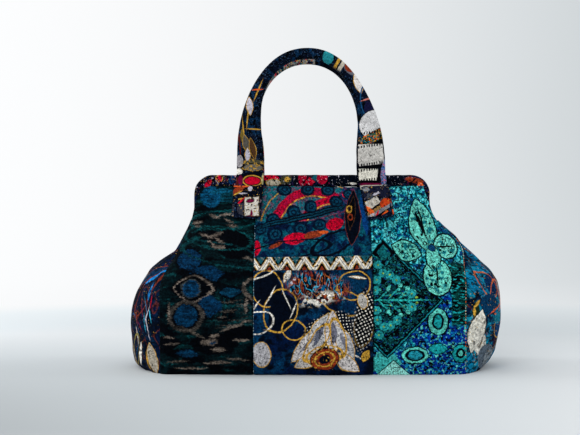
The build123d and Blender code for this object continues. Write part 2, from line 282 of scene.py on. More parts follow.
class Cloth:
    """A velvet material, painted shape over shape on the cloth's own coordinates in millimetres."""

    def __init__(self, name, ground, mirror=1):
        self.material = bpy.data.materials.new(name)
        self.material.use_nodes = True
        self.tree = self.material.node_tree
        self.shader = self.tree.nodes["Principled BSDF"]
        source = self.tree.nodes.new("ShaderNodeAttribute")
        source.attribute_name = "cloth"
        self.still = self.vector("MULTIPLY", source.outputs["Vector"], (mirror, 1, 0))
        self.aim(self.still)
        ground_node = self.tree.nodes.new("ShaderNodeRGB")
        ground_node.outputs[0].default_value = ground
        self.colour = ground_node.outputs[0]

    def node(self, kind, settings=None, **inputs):
        made = self.tree.nodes.new(kind)
        for key, value in (settings or {}).items():
            setattr(made, key, value)
        for key, value in inputs.items():
            socket = made.inputs[int(key[1:])] if key[0] == "i" and key[1:].isdigit() else made.inputs[key]
            if isinstance(value, bpy.types.NodeSocket):
                self.tree.links.new(value, socket)
            else:
                socket.default_value = value
        return made

    def math(self, operation, a, b=0.0, c=0.0):
        return self.node("ShaderNodeMath", {"operation": operation}, i0=a, i1=b, i2=c).outputs[0]

    def vector(self, operation, a, b=(0, 0, 0), c=(0, 0, 0)):
        made = self.node("ShaderNodeVectorMath", {"operation": operation}, i0=a, i1=b, i2=c)
        return made.outputs["Value" if operation == "LENGTH" else "Vector"]

    def split(self, vector):
        return self.node("ShaderNodeSeparateXYZ", {}, Vector=vector).outputs

    def aim(self, point):
        """Sets the coordinates that the next shapes are painted on."""
        self.point = point
        u, v, _ = self.split(point)
        self.crossed = self.node("ShaderNodeCombineXYZ", {}, X=v, Y=u).outputs[0]

    def step(self, value, low_end, high_end, start=0.0, end=1.0):
        made = self.node(
            "ShaderNodeMapRange", {"interpolation_type": "SMOOTHSTEP"},
            Value=value, **{"From Min": low_end, "From Max": high_end, "To Min": start, "To Max": end},
        )
        return made.outputs[0]

    def local(self, x, z, wide, tall, turn=0.0):
        """Coordinates inside a shape: 1 at its edge."""
        cosine, sine = math.cos(math.radians(turn)), math.sin(math.radians(turn))
        start = (-(x * cosine + z * sine) / wide, (x * sine - z * cosine) / tall, 0)
        if turn:
            start = self.vector("MULTIPLY_ADD", self.crossed, (sine / wide, -sine / tall, 0), start)
        return self.vector("MULTIPLY_ADD", self.point, (cosine / wide, cosine / tall, 0), start)

    def noise(self, size, detail=2.0, stretch=(1, 1), shift=0.0, still=False, rough=0.5):
        """Noise from 0 to 1, in features of a size."""
        scaled = self.node(
            "ShaderNodeMapping", {}, Vector=self.still if still else self.point,
            Location=(shift, shift * 0.7, shift * 1.3), Scale=(stretch[0] / size, stretch[1] / size, 1),
        ).outputs[0]
        return self.node("ShaderNodeTexNoise", {}, Vector=scaled, Scale=1.0, Detail=detail, Roughness=rough)

    def warp(self, across, up, size, detail=2.0, stretch=(1, 1), shift=0.0):
        """Wavers everything painted from here on."""
        coloured = self.noise(size, detail, stretch, shift).outputs["Color"]
        centred = self.vector("SUBTRACT", coloured, (0.5, 0.5, 0.5))
        self.aim(self.vector("MULTIPLY_ADD", centred, (2 * across, 2 * up, 0), self.point))

    def area(self, kind, x, z, wide, tall, turn=0.0, edge=0.4):
        """Mask of one shape."""
        local = self.local(x, z, wide, tall, turn)
        soft = edge / min(wide, tall)
        if kind in LINES:
            off = self.math("ABSOLUTE", self.math("SUBTRACT", self.vector("LENGTH", local), 1.0))
            half = LINES[kind] / min(wide, tall)
            return self.step(off, half, half + 1.5 * soft, 1.0, 0.0)
        if kind == "oval":
            reach = self.vector("LENGTH", local)
        else:
            u, v, _ = self.split(self.vector("ABSOLUTE", local))
            if kind == "leaf":
                reach = self.math("MULTIPLY_ADD", v, v, u)
            elif kind == "eye":
                reach = self.math("MULTIPLY_ADD", u, u, v)
            elif kind == "box":
                reach = self.math("MAXIMUM", u, v)
            else:
                reach = self.math("ADD", u, v)
        return self.step(reach, 1 - soft, 1 + soft, 1.0, 0.0)

    def both(self, *masks):
        found = masks[0]
        for mask in masks[1:]:
            found = self.math("MULTIPLY", found, mask)
        return found

    def beyond(self, x, z, turn, soft=1.0):
        """The half of the cloth above a line."""
        return self.step(self.split(self.local(x, z, 1, 1, turn))[1], -soft, soft)

    def lay(self, mask, colour, within=None, strength=1.0):
        if within is not None:
            mask = self.both(mask, within)
        if strength != 1.0:
            mask = self.math("MULTIPLY", mask, strength)
        mixed = self.node("ShaderNodeMix", {"data_type": "RGBA"}, Factor=mask)
        self.tree.links.new(self.colour, mixed.inputs[6])
        mixed.inputs[7].default_value = colour
        self.colour = mixed.outputs[2]

    def paint(self, shapes, within=None, edge=0.4, strength=1.0):
        """Shapes as (kind, x, z, half width, half height, turn, colour[, rim colour, rim width])."""
        for kind, x, z, wide, tall, turn, colour, *rim in shapes:
            if rim:
                grown = self.area(kind, x, z, wide + rim[1], tall + rim[1], turn, edge)
                self.lay(grown, rim[0], within, strength)
            self.lay(self.area(kind, x, z, wide, tall, turn, edge), colour, within, strength)

    def blots(self, colour, size, amount=0.5, soft=0.03, stretch=(1, 1), shift=0.0, detail=3.0, within=None, strength=1.0):
        """Irregular blots that cover about an amount of the cloth."""
        level = self.noise(size, detail, stretch, shift).outputs[0]
        cut = 0.5 + (0.5 - amount) * 0.42
        self.lay(self.step(level, cut - soft, cut + soft), colour, within, strength)

    def veins(self, colour, size, count, line, shift=0.0, stretch=(1, 1), detail=1.0, within=None, strength=1.0):
        """Contour lines of a smooth noise, like drawn stems and scrolls."""
        level = self.noise(size, detail, stretch, shift).outputs[0]
        off = self.math("ABSOLUTE", self.math("SUBTRACT", self.math("FRACT", self.math("MULTIPLY", level, count)), 0.5))
        self.lay(self.step(off, line, line + 0.06, 1.0, 0.0), colour, within, strength)

    def dots(self, colour, pitch, size, turn=30, within=None, strength=1.0):
        """Rows of small dots, a little out of line."""
        turned = self.local(0, 0, pitch, pitch, turn)
        wander = self.vector("SUBTRACT", self.noise(pitch * 1.3, 1.0).outputs["Color"], (0.5, 0.5, 0.5))
        placed = self.vector("ADD", turned, self.vector("MULTIPLY", wander, (0.7, 0.7, 0)))
        centred = self.vector("SUBTRACT", self.vector("FRACTION", placed), (0.5, 0.5, 0.5))
        length = self.vector("LENGTH", self.vector("MULTIPLY", centred, (1, 1, 0)))
        self.lay(self.step(length, size - 0.08, size + 0.08, 1.0, 0.0), colour, within, strength)

    def finish(self, mottle=0.4, nap=0.3, sheen=0.01, rough=0.85, fibre=3.0, bump=0.5):
        """Worn pile, nap and the ground weave."""
        worn = self.noise(fibre, 3.0, (1, 1), 4.0, True, 0.6).outputs[0]
        fine = self.noise(1.2, 3.0, (1, 1), 11.0, True, 0.7).outputs[0]
        broad = self.noise(34.0, 2.0, (1, 1), 7.0, True).outputs[0]
        shade = self.both(
            self.step(worn, 0.3, 0.7, 1 - mottle, 1 + mottle),
            self.step(fine, 0.3, 0.7, 1 - nap, 1 + nap),
            self.step(broad, 0.3, 0.7, 0.86, 1.14),
        )
        scaled = self.tree.nodes.new("ShaderNodeVectorMath")
        scaled.operation = "SCALE"
        self.tree.links.new(self.colour, scaled.inputs[0])
        self.tree.links.new(shade, scaled.inputs["Scale"])
        self.tree.links.new(scaled.outputs[0], self.shader.inputs["Base Color"])
        self.tree.links.new(self.step(fine, 0.3, 0.7, rough + 0.1, rough - 0.1), self.shader.inputs["Roughness"])
        self.shader.inputs["Specular IOR Level"].default_value = 0.02
        self.shader.inputs["Sheen Weight"].default_value = sheen
        self.shader.inputs["Sheen Roughness"].default_value = 0.35
        self.shader.inputs["Sheen Tint"].default_value = rgb(150, 190, 215)
        ribs = self.node(
            "ShaderNodeTexWave", {"wave_type": "BANDS", "bands_direction": "Y"},
            Vector=self.still, Scale=0.28, Distortion=1.2,
        ).outputs[1]
        height = self.math("MULTIPLY_ADD", ribs, 0.25, self.math("MULTIPLY_ADD", worn, 0.8, fine))
        bumped = self.node("ShaderNodeBump", {}, Strength=bump, Distance=0.0005, Height=height)
        self.tree.links.new(bumped.outputs[0], self.shader.inputs["Normal"])
        return self.material


def ikat(name, mirror=1, shift=0.0):
    """Ikat: eyes and ovals whose edges are frayed along the threads."""
    c = Cloth(name, BOTTLE, mirror)
    c.warp(5.2, 0.3, 1.1, 2.0, (0.09, 1.0), shift)
    c.warp(0.3, 3.4, 1.2, 2.0, (1.0, 0.08), shift + 11)
    c.warp(3.5, 2.2, 17.0, 2.0, (1, 1), shift + 5)
    c.blots(MOSS, 9, 0.34, 0.05, (0.35, 1.5), 9.0 + shift)
    c.blots(BLACK, 14, 0.42, 0.05, (0.5, 1.2), 2.0 + shift)
    upright = c.noise(1.6, 1.0, (1.0, 0.05), 7.0 + shift).outputs[0]
    c.lay(c.step(upright, 0.56, 0.66), rgb(14, 84, 92), c.area("oval", -98, 78, 30, 30, 0, 9), 0.55)
    level = c.noise(1.5, 1.0, (0.05, 1.0), 3.0 + shift).outputs[0]
    c.lay(c.step(level, 0.58, 0.66), TAUPE, c.area("oval", -96, 72, 24, 20, 0, 9), 0.6)
    c.paint((
        ("oval", -112, 221, 20, 9, 0, rgb(8, 62, 78)),
        ("oval", -131, 219, 13, 14, 0, rgb(10, 84, 124)), ("eye", -118, 226, 16, 3, 4, rgb(14, 96, 130)),
        ("oval", -100, 158, 26, 17, -12, BLACK),
        ("oval", -116, 132, 18, 7, 0, rgb(4, 30, 34)),
        ("oval", -154, 139, 15, 12, 0, DUSK, BLACK, 2.5),
        ("eye", -131, 123, 21, 10, 0, DUSK),
        ("eye", -146, 105, 29, 19, 0, BLACK),
        ("eye", -146, 105, 26, 16.5, 0, TAUPE),
        ("eye", -147, 105, 23, 14.5, 0, BLACK),
        ("oval", -150, 105, 12, 11.5, 0, rgb(60, 66, 66)),
        ("oval", -150, 105, 10, 10.5, 0, rgb(8, 60, 98)),
        ("eye", -101, 101, 14, 6, 0, rgb(8, 60, 88), BLACK, 2.5),
        ("leaf", -127, 84, 15, 14, 0, DUSK),
        ("oval", -155, 72, 22, 20, 0, BLACK),
        ("hoop", -155, 71, 19, 18, 0, rgb(70, 66, 62)),
        ("oval", -155, 72, 13.5, 13.5, 0, rgb(8, 58, 94)),
        ("oval", -90, 50, 26, 9, 10, BLACK),
        ("eye", -122, 38, 32, 13, 0, BLACK),
        ("eye", -177, 40, 18, 9, 0, BLACK),
        ("eye", -154, 26, 14, 5, 0, rgb(8, 52, 82), BLACK, 1.6),
        ("oval", -126, 40, 11, 4.2, 0, TAUPE),
        ("oval", -120, 47, 6, 2.2, 0, TAUPE),
        ("oval", -116, 31, 9, 2.6, 0, TAUPE),
        ("oval", -122, 39, 5, 1.6, 0, rgb(8, 52, 82)),
    ))
    c.paint((
        ("line", -112, 189, 46, 12, 4, rgb(12, 84, 88)),
        ("line", -120, 166, 44, 14, -6, rgb(12, 80, 84)),
        ("line", -112, 146, 54, 13, -9, rgb(10, 66, 72)),
        ("eye", -124, 193, 8, 1.8, -10, TAUPE), ("eye", -110, 196, 9, 1.6, 6, TAUPE), ("eye", -106, 188, 8, 1.4, -24, TAUPE),
        ("eye", -147, 185, 8, 2.2, 4, TAUPE), ("eye", -146, 180, 6, 1.2, 0, TAUPE), ("eye", -101, 181, 8, 1.8, -12, TAUPE),
        ("eye", -136, 168, 10, 1.6, -14, TAUPE), ("eye", -122, 171, 9, 1.6, 20, TAUPE), ("eye", -118, 163, 8, 1.4, -30, TAUPE),
        ("eye", -119, 155, 9, 2.6, -8, TAUPE), ("eye", -129, 160, 6, 1.2, -18, TAUPE),
        ("hoop", -72, 105, 13, 12, 0, TAUPE), ("eye", -80, 142, 8, 1.6, -14, TAUPE), ("eye", -96, 60, 20, 1.8, 22, TAUPE),
        ("eye", -82, 84, 2, 9, 0, TAUPE), ("eye", -176, 76, 1.6, 12, 0, TAUPE), ("eye", -172, 38, 11, 1.4, 4, TAUPE),
        ("eye", -176, 46, 8, 1.1, -4, TAUPE), ("eye", -88, 43, 10, 1.8, 0, TAUPE), ("eye", -146, 51, 22, 1.2, -26, rgb(92, 84, 76)),
        ("eye", -118, 15, 18, 1.8, 2, TAUPE), ("eye", -92, 20, 16, 1.4, -4, rgb(92, 84, 76)), ("eye", -166, 16, 16, 1.3, 3, rgb(92, 84, 76)),
        ("eye", -150, 8, 20, 1.2, 0, TAUPE),
    ), strength=0.85)
    gap = c.noise(1.4, 1.0, (0.07, 1.0), 13.0 + shift).outputs[0]
    c.lay(c.step(gap, 0.46, 0.58), BLACK, strength=0.72)
    thread = c.noise(1.1, 1.0, (1.0, 0.06), 17.0 + shift).outputs[0]
    c.lay(c.step(thread, 0.5, 0.62), BLACK, strength=0.6)
    return c.finish(0.45, 0.5)


def peacock(name, mirror=1, shift=0.0):
    """Petrol ground with crimson and teal fans, ringed seeds on a branch and a dark pod."""
    c = Cloth(name, PETROL, mirror)
    c.warp(1.2, 1.2, 5.0, 2.0, (1, 1), shift)
    c.warp(2.0, 2.0, 24.0, 1.0, (1, 1), shift + 3)
    c.blots(rgb(8, 84, 100), 15, 0.40, 0.07, (0.8, 1.3), 1.0 + shift)
    c.blots(NAVY, 12, 0.44, 0.06, (1.2, 1), 6.0 + shift)
    upper = c.area("box", -10, 214, 66, 26, 0, 1.0)
    c.paint((
        ("oval", 2, 170, 92, 86, 0, rgb(18, 96, 108)), ("line", 2, 170, 70, 70, 0, GOLD),
        ("oval", 2, 170, 58, 61, 0, rgb(176, 8, 46)), ("line", 2, 170, 47, 49, 0, GOLD), ("oval", 2, 170, 46, 48, 0, rgb(24, 92, 106)),
        ("oval", 22, 178, 39, 39, 0, CRIMSON), ("line", 22, 178, 30, 30, 0, GOLD), ("oval", 22, 178, 29, 29, 0, rgb(8, 66, 86)),
        ("slab", 48, 206, 22, 40, 0, rgb(6, 52, 88)), ("oval", 42, 221, 4, 4, 0, CRIMSON),
    ), c.both(upper, c.beyond(-14, 186, 14, 1.0)))
    c.blots(rgb(130, 16, 70), 4.5, 0.40, 0.06, (1, 1), 3.0 + shift, within=upper, strength=0.45)
    for x, z, size in ((-50, 189, 9), (-24, 199, 9.5), (-2, 206, 8.5), (-36, 228, 9.5), (-6, 228, 9.5), (20, 227, 9),
                       (30, 212, 8.5), (-48, 171, 9.5), (-15, 178, 9.5), (9, 184, 8.5), (-66, 178, 8), (46, 222, 7)):
        c.paint((
            ("oval", x, z, size, size * 0.94, 0, rgb(3, 20, 42)),
            ("ring", x + 0.6, z, size * 0.56, size * 0.5, 0, rgb(6, 56, 78)),
            ("oval", x + 0.6, z, size * 0.22, size * 0.2, 0, rgb(8, 62, 88)),
        ))
    c.paint((
        ("oval", -22, 166, 15, 6.5, 10, CRIMSON), ("oval", 28, 184, 11, 7.5, 14, CRIMSON), ("oval", -72, 154, 7, 10, -10, CRIMSON),
        ("oval", 2, 171, 13, 4.5, 14, RUST), ("oval", -46, 158, 9, 3, 24, RUST), ("oval", 14, 174, 6, 2.4, 0, ORANGE),
        ("oval", -14, 193, 64, 4.6, 13, INK), ("oval", -14, 193, 62, 2.6, 13, rgb(8, 56, 76)), ("oval", -14, 193, 60, 0.8, 13, BLACK),
        ("line", -30, 152, 52, 11, 8, INK), ("ring", 26, 160, 30, 12, 24, INK),
    ))
    c.paint((
        ("leaf", 51, 192, 10, 36, -4, INK, RUST, 0.5), ("leaf", 50, 198, 4.5, 22, -10, BLACK, rgb(96, 60, 30), 0.5),
        ("line", 47, 202, 3.4, 4, 0, GOLD), ("line", 48, 192, 2.8, 3.6, 0, RUST), ("oval", 66, 196, 4, 26, 4, rgb(8, 62, 124)),
    ))
    c.blots(BLACK, 3.0, 0.2, 0.03, (1, 1), 8.0 + shift, strength=0.6)
    c.veins(INK, 9, 6, 0.06, 12.0 + shift, strength=0.7)
    return c.finish(0.42, 0.32)


def leaves(name, shift=0.0):
    """Deep navy with drawn gold stems, cream petals and beads."""
    c = Cloth(name, rgb(3, 22, 56))
    c.warp(0.8, 0.8, 4.0, 2.0, (1, 1), shift)
    c.warp(2.2, 2.2, 22.0, 1.0, (1, 1), shift + 2)
    c.blots(rgb(5, 56, 92), 26, 0.40, 0.09, (1, 1), 2.0 + shift)
    c.blots(INK, 14, 0.36, 0.08, (1, 1), 5.0 + shift)
    c.paint((
        ("oval", -56, 104, 17, 20, 20, INK), ("line", -56, 104, 19, 22, 20, GOLD), ("line", -40, 78, 20, 26, -20, GOLD),
        ("oval", -38, 76, 16, 22, -20, INK), ("line", -70, 64, 22, 13, 10, CREAM), ("line", -24, 56, 14, 12, 0, GOLD),
        ("line", 50, 108, 20, 17, 10, GOLD), ("oval", 50, 110, 16, 12, 10, rgb(4, 48, 80)), ("line", 62, 62, 12, 26, -10, GOLD),
        ("line", -66, 126, 26, 9, 20, CREAM), ("line", 36, 88, 26, 14, -14, GOLD),
    ))
    c.paint((
        ("eye", -62, 118, 13, 1.0, 20, CREAM), ("eye", -52, 96, 1.1, 12, -30, CREAM), ("eye", -33, 92, 1.0, 12, 24, CREAM),
        ("eye", 54, 117, 11, 1.2, -6, CREAM, GOLD, 0.7), ("eye", -70, 84, 9, 0.9, 50, CREAM), ("eye", -24, 80, 1.0, 10, -22, CREAM),
        ("eye", 62, 44, 1.3, 9, -14, CREAM), ("eye", 52, 24, 10, 1.0, -30, CREAM), ("eye", -50, 54, 10, 0.9, -14, GOLD),
        ("leaf", -32, 120, 3, 9, -24, CREAM, GOLD, 0.7), ("leaf", -26, 112, 2.6, 8, -34, LILAC, GOLD, 0.7),
    ))
    busy = c.area("oval", 6, 106, 38, 18, -8, 4)
    c.blots(RUST, 6, 0.42, 0.03, (1.3, 0.6), 4.0 + shift, within=busy)
    c.blots(INK, 7, 0.5, 0.03, (1.4, 0.6), 14.0 + shift, within=busy)
    c.blots(rgb(10, 92, 134), 7, 0.26, 0.03, (1.3, 0.5), 24.0 + shift, within=busy)
    c.veins(rgb(180, 96, 40), 12, 6, 0.05, 37.0 + shift, (1.4, 0.6), within=busy, strength=0.9)
    c.veins(CYAN, 13, 4, 0.03, 41.0 + shift, (1.3, 0.6), within=busy, strength=0.8)
    light = c.area("oval", 6, 92, 22, 8, 10, 3)
    c.blots(CREAM, 6.0, 0.5, 0.03, (1, 1), 44.0 + shift, within=light)
    c.blots(GOLD, 4.0, 0.26, 0.03, (1, 1), 47.0 + shift, within=light)
    dark = c.area("oval", 62, 66, 13, 34, -8, 3)
    c.lay(dark, BLACK)
    c.dots(CREAM, 4.0, 0.24, 24, within=dark)
    ring = c.area("oval", 18, 52, 34, 22, 30, 2)
    c.lay(ring, INK)
    c.dots(CREAM, 3.8, 0.2, 10, within=ring)
    c.paint((
        ("leaf", -8, 38, 9, 28, -40, rgb(198, 192, 190), GOLD, 1.2), ("leaf", 6, 50, 10, 28, -24, rgb(190, 188, 188), GOLD, 1.0),
        ("leaf", 24, 52, 10, 26, 2, rgb(198, 192, 192), GOLD, 1.2), ("leaf", 38, 40, 9, 24, 26, rgb(188, 186, 188), GOLD, 1.0),
        ("leaf", -6, 18, 7, 18, -66, rgb(190, 184, 180), GOLD, 1.2), ("leaf", 40, 16, 8, 18, 54, rgb(196, 190, 188), GOLD, 1.2),
        ("leaf", 6, 50, 3.6, 17, -24, rgb(92, 96, 112)), ("leaf", 24, 52, 4.4, 15, 2, rgb(104, 104, 118)), ("leaf", 38, 40, 2.6, 14, 26, rgb(120, 120, 132)),
        ("leaf", -8, 38, 2.2, 18, -40, rgb(126, 124, 132)),
        ("line", 4, 40, 9, 26, -32, GOLD), ("line", 30, 46, 9, 24, 14, GOLD), ("line", 14, 24, 22, 12, 10, GOLD),
        ("oval", 14, 20, 17, 12, 8, RUST, INK, 1.2), ("oval", 14, 20, 7, 5, 8, INK), ("line", 14, 20, 12, 8, 8, GOLD),
        ("oval", -63, 26, 10.5, 15, 4, rgb(176, 174, 178), GOLD, 1.0), ("leaf", 64, 24, 5, 9, -30, GOLD, BLACK, 1.0), ("oval", 60, 90, 6, 9, 10, rgb(168, 164, 158), GOLD, 0.9),
    ))
    c.blots(GOLD, 2.6, 0.20, 0.02, (1, 1), 8.0 + shift, within=c.area("oval", 14, 22, 20, 15, 8, 2))
    c.veins(INK, 6, 4, 0.05, 52.0 + shift, strength=0.75)
    c.blots(BLACK, 2.4, 0.18, 0.03, (1, 1), 58.0 + shift, strength=0.8)
    return c.finish(0.34, 0.26)


def braid(name, base):
    """A cream braid over gold and dark triangles, in a strip above a height."""
    c = Cloth(name, CREAM)
    c.warp(0.7, 0.6, 5.0, 1.0, (1, 1), 2.0)
    u, v, _ = c.split(c.point)
    zigzag = c.math("DIVIDE", c.math("PINGPONG", u, 10.7), 10.7)
    height = c.math("DIVIDE", c.math("SUBTRACT", v, base), BAND_TOP - base)
    off = c.math("SUBTRACT", height, zigzag)
    above = c.step(off, 0.14, 0.2)
    below = c.step(off, -0.36, -0.3, 1.0, 0.0)
    c.lay(above, GOLD)
    c.lay(c.step(off, 0.24, 0.29), BLACK)
    c.lay(c.step(off, 0.46, 0.52), rgb(24, 84, 96))
    c.lay(below, GOLD)
    c.lay(c.step(off, -0.46, -0.4, 1.0, 0.0), BLACK)
    c.lay(c.step(off, -0.72, -0.66, 1.0, 0.0), RUST)
    c.lay(c.step(c.math("ABSOLUTE", c.math("SUBTRACT", off, -0.06)), 0.03, 0.06, 1.0, 0.0), INK, strength=0.7)
    c.blots(BLACK, 3.0, 0.26, 0.03, (1, 1), 4.0)
    c.blots(rgb(150, 146, 140), 4, 0.3, 0.04, (1, 1), 14.0, strength=0.6)
    return c.finish(0.2, 0.22)


def tilework(name, mirror=1, shift=0.0):
    """Turquoise tilework: a dark lozenge of twigs, mint petals, marbled corners and a blue foot."""
    c = Cloth(name, rgb(12, 136, 154), mirror)
    c.warp(1.3, 1.3, 5.5, 2.0, (1, 1), shift)
    plain = c.point
    c.blots(rgb(84, 210, 214), 6, 0.46, 0.04, (1, 1), 2.0 + shift)
    c.blots(rgb(6, 66, 116), 6, 0.34, 0.04, (1, 1), 5.0 + shift)
    c.veins(BLACK, 12, 7, 0.13, 9.0 + shift, strength=0.9)
    c.blots(ROYAL, 5, 0.2, 0.03, (1, 1), 19.0 + shift)
    foot = c.math("MAXIMUM", c.beyond(150, 30, 180, 3), c.area("slab", 158, 52, 46, 54, 0, 1))
    c.lay(foot, rgb(4, 48, 142))
    c.blots(rgb(14, 130, 176), 4.5, 0.38, 0.03, (1, 1), 24.0 + shift, within=foot)
    c.blots(BLACK, 5, 0.34, 0.04, (1, 1), 29.0 + shift, within=foot)
    c.blots(MINT, 3.4, 0.26, 0.03, (1, 1), 31.0 + shift, within=foot)
    c.paint((
        ("oval", 124, 24, 17, 11, 0, INK), ("ring", 124, 24, 14, 8.5, 0, MINT), ("oval", 124, 24, 8.5, 5.5, 0, rgb(30, 140, 160), INK, 1.2),
        ("oval", 180, 26, 11, 12, 0, INK), ("hoop", 180, 26, 8, 8.5, 0, TURQUOISE), ("oval", 180, 26, 3, 3.4, 0, MINT),
        ("oval", 152, 65, 14, 17, 0, INK), ("hoop", 152, 65, 9.5, 13, 0, MINT), ("oval", 152, 65, 4.5, 8, 0, TURQUOISE, INK, 1.0),
        ("leaf", 152, 32, 6, 12, 90, TURQUOISE, INK, 1.2), ("slab", 88, 14, 20, 26, 0, rgb(60, 176, 172)), ("slab", 98, 0, 20, 17, 0, rgb(140, 214, 204), INK, 1.6),
    ))
    strip = c.area("box", 182, 98, 13, 38, 0, 1)
    c.lay(strip, rgb(8, 66, 62))
    c.blots(BLACK, 4, 0.5, 0.04, (0.4, 1.5), 41.0 + shift, within=strip)
    c.blots(TURQUOISE, 3, 0.3, 0.03, (0.5, 1.3), 44.0 + shift, within=strip)
    c.paint((
        ("slab", 90, 91, 70, 72, 0, INK), ("slab", 90, 91, 68, 70, 0, rgb(20, 130, 140)), ("slab", 90, 91, 66, 68, 0, BLACK),
        ("slab", 88, 148, 15, 16, 0, BLACK, rgb(20, 130, 140), 1.4), ("slab", 88, 148, 9, 10, 0, rgb(10, 90, 96), INK, 1.0),
    ))
    lozenge = c.area("slab", 90, 91, 63, 65, 0, 0.4)
    c.blots(rgb(6, 60, 66), 5, 0.40, 0.04, (1, 1), 51.0 + shift, within=lozenge)
    c.blots(rgb(8, 56, 120), 4, 0.24, 0.03, (1, 1), 53.0 + shift, within=lozenge)
    c.aim(c.vector("ABSOLUTE", c.vector("SUBTRACT", c.point, (72, 91, 0))))
    twigs = [("eye", 34, 0, 42, 1.2, 0, rgb(40, 176, 168))]
    for x, length in ((6, 15), (17, 21), (29, 16), (41, 10)):
        s = length * 0.7
        twigs.append(("eye", x + s / 2 + 2, s / 2 + 1, length * 0.62, 0.9, 45, rgb(36, 160, 156)))
        twigs.append(("eye", x + s + 1, s * 0.55, 5, 0.8, 8, rgb(36, 150, 150)))
        twigs.append(("oval", x + s + 3, s + 3, 2.5, 2.5, 0, MINT, BLACK, 1.0))
        twigs.append(("oval", x + s + 6, s * 0.5, 1.5, 1.5, 0, LIME))
        twigs.append(("oval", x + s * 0.3, s * 0.9 + 3, 1.7, 1.7, 0, rgb(70, 190, 176)))
    for x, z in ((6, 24), (14, 32), (8, 42), (22, 30), (4, 12), (30, 24), (48, 8)):
        twigs.append(("hoop", x, z, 3.2, 3.2, 0, rgb(34, 150, 154)))
        twigs.append(("oval", x, z, 1.1, 1.1, 0, LIME))
    c.paint(twigs, lozenge)
    c.aim(plain)
    c.veins(rgb(34, 150, 146), 6, 4, 0.05, 57.0 + shift, within=lozenge, strength=0.6)
    petals = (
        ("leaf", 141, 181, 17, 36, 14, rgb(104, 206, 190), BLACK, 1.8), ("oval", 168, 156, 14, 15, 20, rgb(112, 210, 194), BLACK, 1.8),
        ("oval", 153, 118, 17, 21, 0, rgb(104, 206, 188), BLACK, 1.8), ("leaf", 117, 151, 12, 19, 70, rgb(96, 198, 182), BLACK, 1.8),
        ("leaf", 150, 142, 9, 17, 0, rgb(100, 200, 184), BLACK, 1.5),
    )
    c.paint(petals)
    inside = c.math("MAXIMUM", c.area("leaf", 141, 181, 14, 33, 14), c.math("MAXIMUM", c.area("oval", 153, 118, 15, 19), c.math(
        "MAXIMUM", c.area("oval", 168, 156, 12, 13), c.area("leaf", 117, 151, 10, 16, 70))))
    c.veins(BLACK, 9, 4, 0.09, 61.0 + shift, within=inside)
    c.blots(rgb(14, 110, 120), 7, 0.36, 0.05, (1, 1), 63.0 + shift, within=inside)
    c.paint((
        ("leaf", 141, 184, 1.2, 26, 14, BLACK), ("leaf", 166, 156, 13, 1.2, 0, BLACK), ("leaf", 153, 120, 1.0, 14, 0, BLACK), ("leaf", 137, 186, 2.4, 16, 22, BLACK),
        ("oval", 150, 154, 4, 4, 0, rgb(8, 66, 110), BLACK, 1.0),
    ))
    c.veins(BLACK, 5, 4, 0.05, 71.0 + shift, strength=0.7)
    c.blots(BLACK, 2.6, 0.24, 0.03, (1, 1), 67.0 + shift, strength=0.8)
    return c.finish(0.42, 0.3)


def gusset_cloth(name, ground, shapes, seed, cool):
    """End panels: dark ground, drawn outlines, large petals and quick slashes of colour; on the left one two thin blue
    slashes are a painted highlight along a fold.
    """
    c = Cloth(name, ground)
    c.warp(1.4, 1.4, 6.0, 2.0, (1, 1), seed)
    c.blots(cool, 22, 0.42, 0.08, (1.3, 0.8), seed + 1)
    c.blots(NAVY, 16, 0.44, 0.07, (1, 0.7), seed + 4)
    c.veins(rgb(96, 40, 28), 26, 4, 0.010, seed + 6, (1, 0.6), strength=0.7)
    c.veins(INK, 14, 5, 0.09, seed + 8, strength=0.8)
    c.paint(shapes)
    c.blots(BLACK, 4, 0.24, 0.03, (1, 0.7), seed + 11, strength=0.75)
    c.blots(GOLD, 2.6, 0.07, 0.02, (1, 1), seed + 14)
    return c.finish(0.42, 0.3, sheen=0.012)


def mosaic(name, ground, colours, size, seed, shapes=(), mirror=1):
    """Small mixed print: blots of several colours over a ground, then its own shapes."""
    c = Cloth(name, ground, mirror)
    c.warp(0.7, 0.7, 3.0, 2.0, (1, 1), seed)
    for number, (colour, amount, share) in enumerate(colours):
        c.blots(colour, size * share, amount, 0.03, (1, 1), seed + 3.0 * number)
    c.paint(shapes)
    return c


def plain_cloth(name, ground, other, size, seed):
    c = Cloth(name, ground)
    c.blots(other, size, 0.4, 0.12, (1, 1), seed)
    return c.finish(0.12, 0.14, 0.05, 0.88, 2.0, 0.3)


def steel(name, base, rough):
    material = bpy.data.materials.new(name)
    material.use_nodes = True
    tree = material.node_tree
    shader = tree.nodes["Principled BSDF"]
    grain = tree.nodes.new("ShaderNodeTexNoise")
    grain.inputs["Scale"].default_value = 900
    grain.inputs["Detail"].default_value = 4
    tone = tree.nodes.new("ShaderNodeMapRange")
    tone.inputs["To Min"].default_value = rough - 0.08
    tone.inputs["To Max"].default_value = rough + 0.12
    tree.links.new(grain.outputs[0], tone.inputs[0])
    tree.links.new(tone.outputs[0], shader.inputs["Roughness"])
    ramp = tree.nodes.new("ShaderNodeMix")
    ramp.data_type = "RGBA"
    ramp.inputs[6].default_value = tuple(v * 0.8 for v in base[:3]) + (1,)
    ramp.inputs[7].default_value = base
    tree.links.new(grain.outputs[0], ramp.inputs[0])
    tree.links.new(ramp.outputs[2], shader.inputs["Base Color"])
    shader.inputs["Metallic"].default_value = 1.0
    return material


def dress(piece, material, node=None):
    piece.data.materials.append(material)
    if node:
        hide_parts(node)


def turn_with(piece):
    """Bakes the cloth's placement into its mesh."""
    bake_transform(piece)


# Front and rear panels
STEP = 3.0


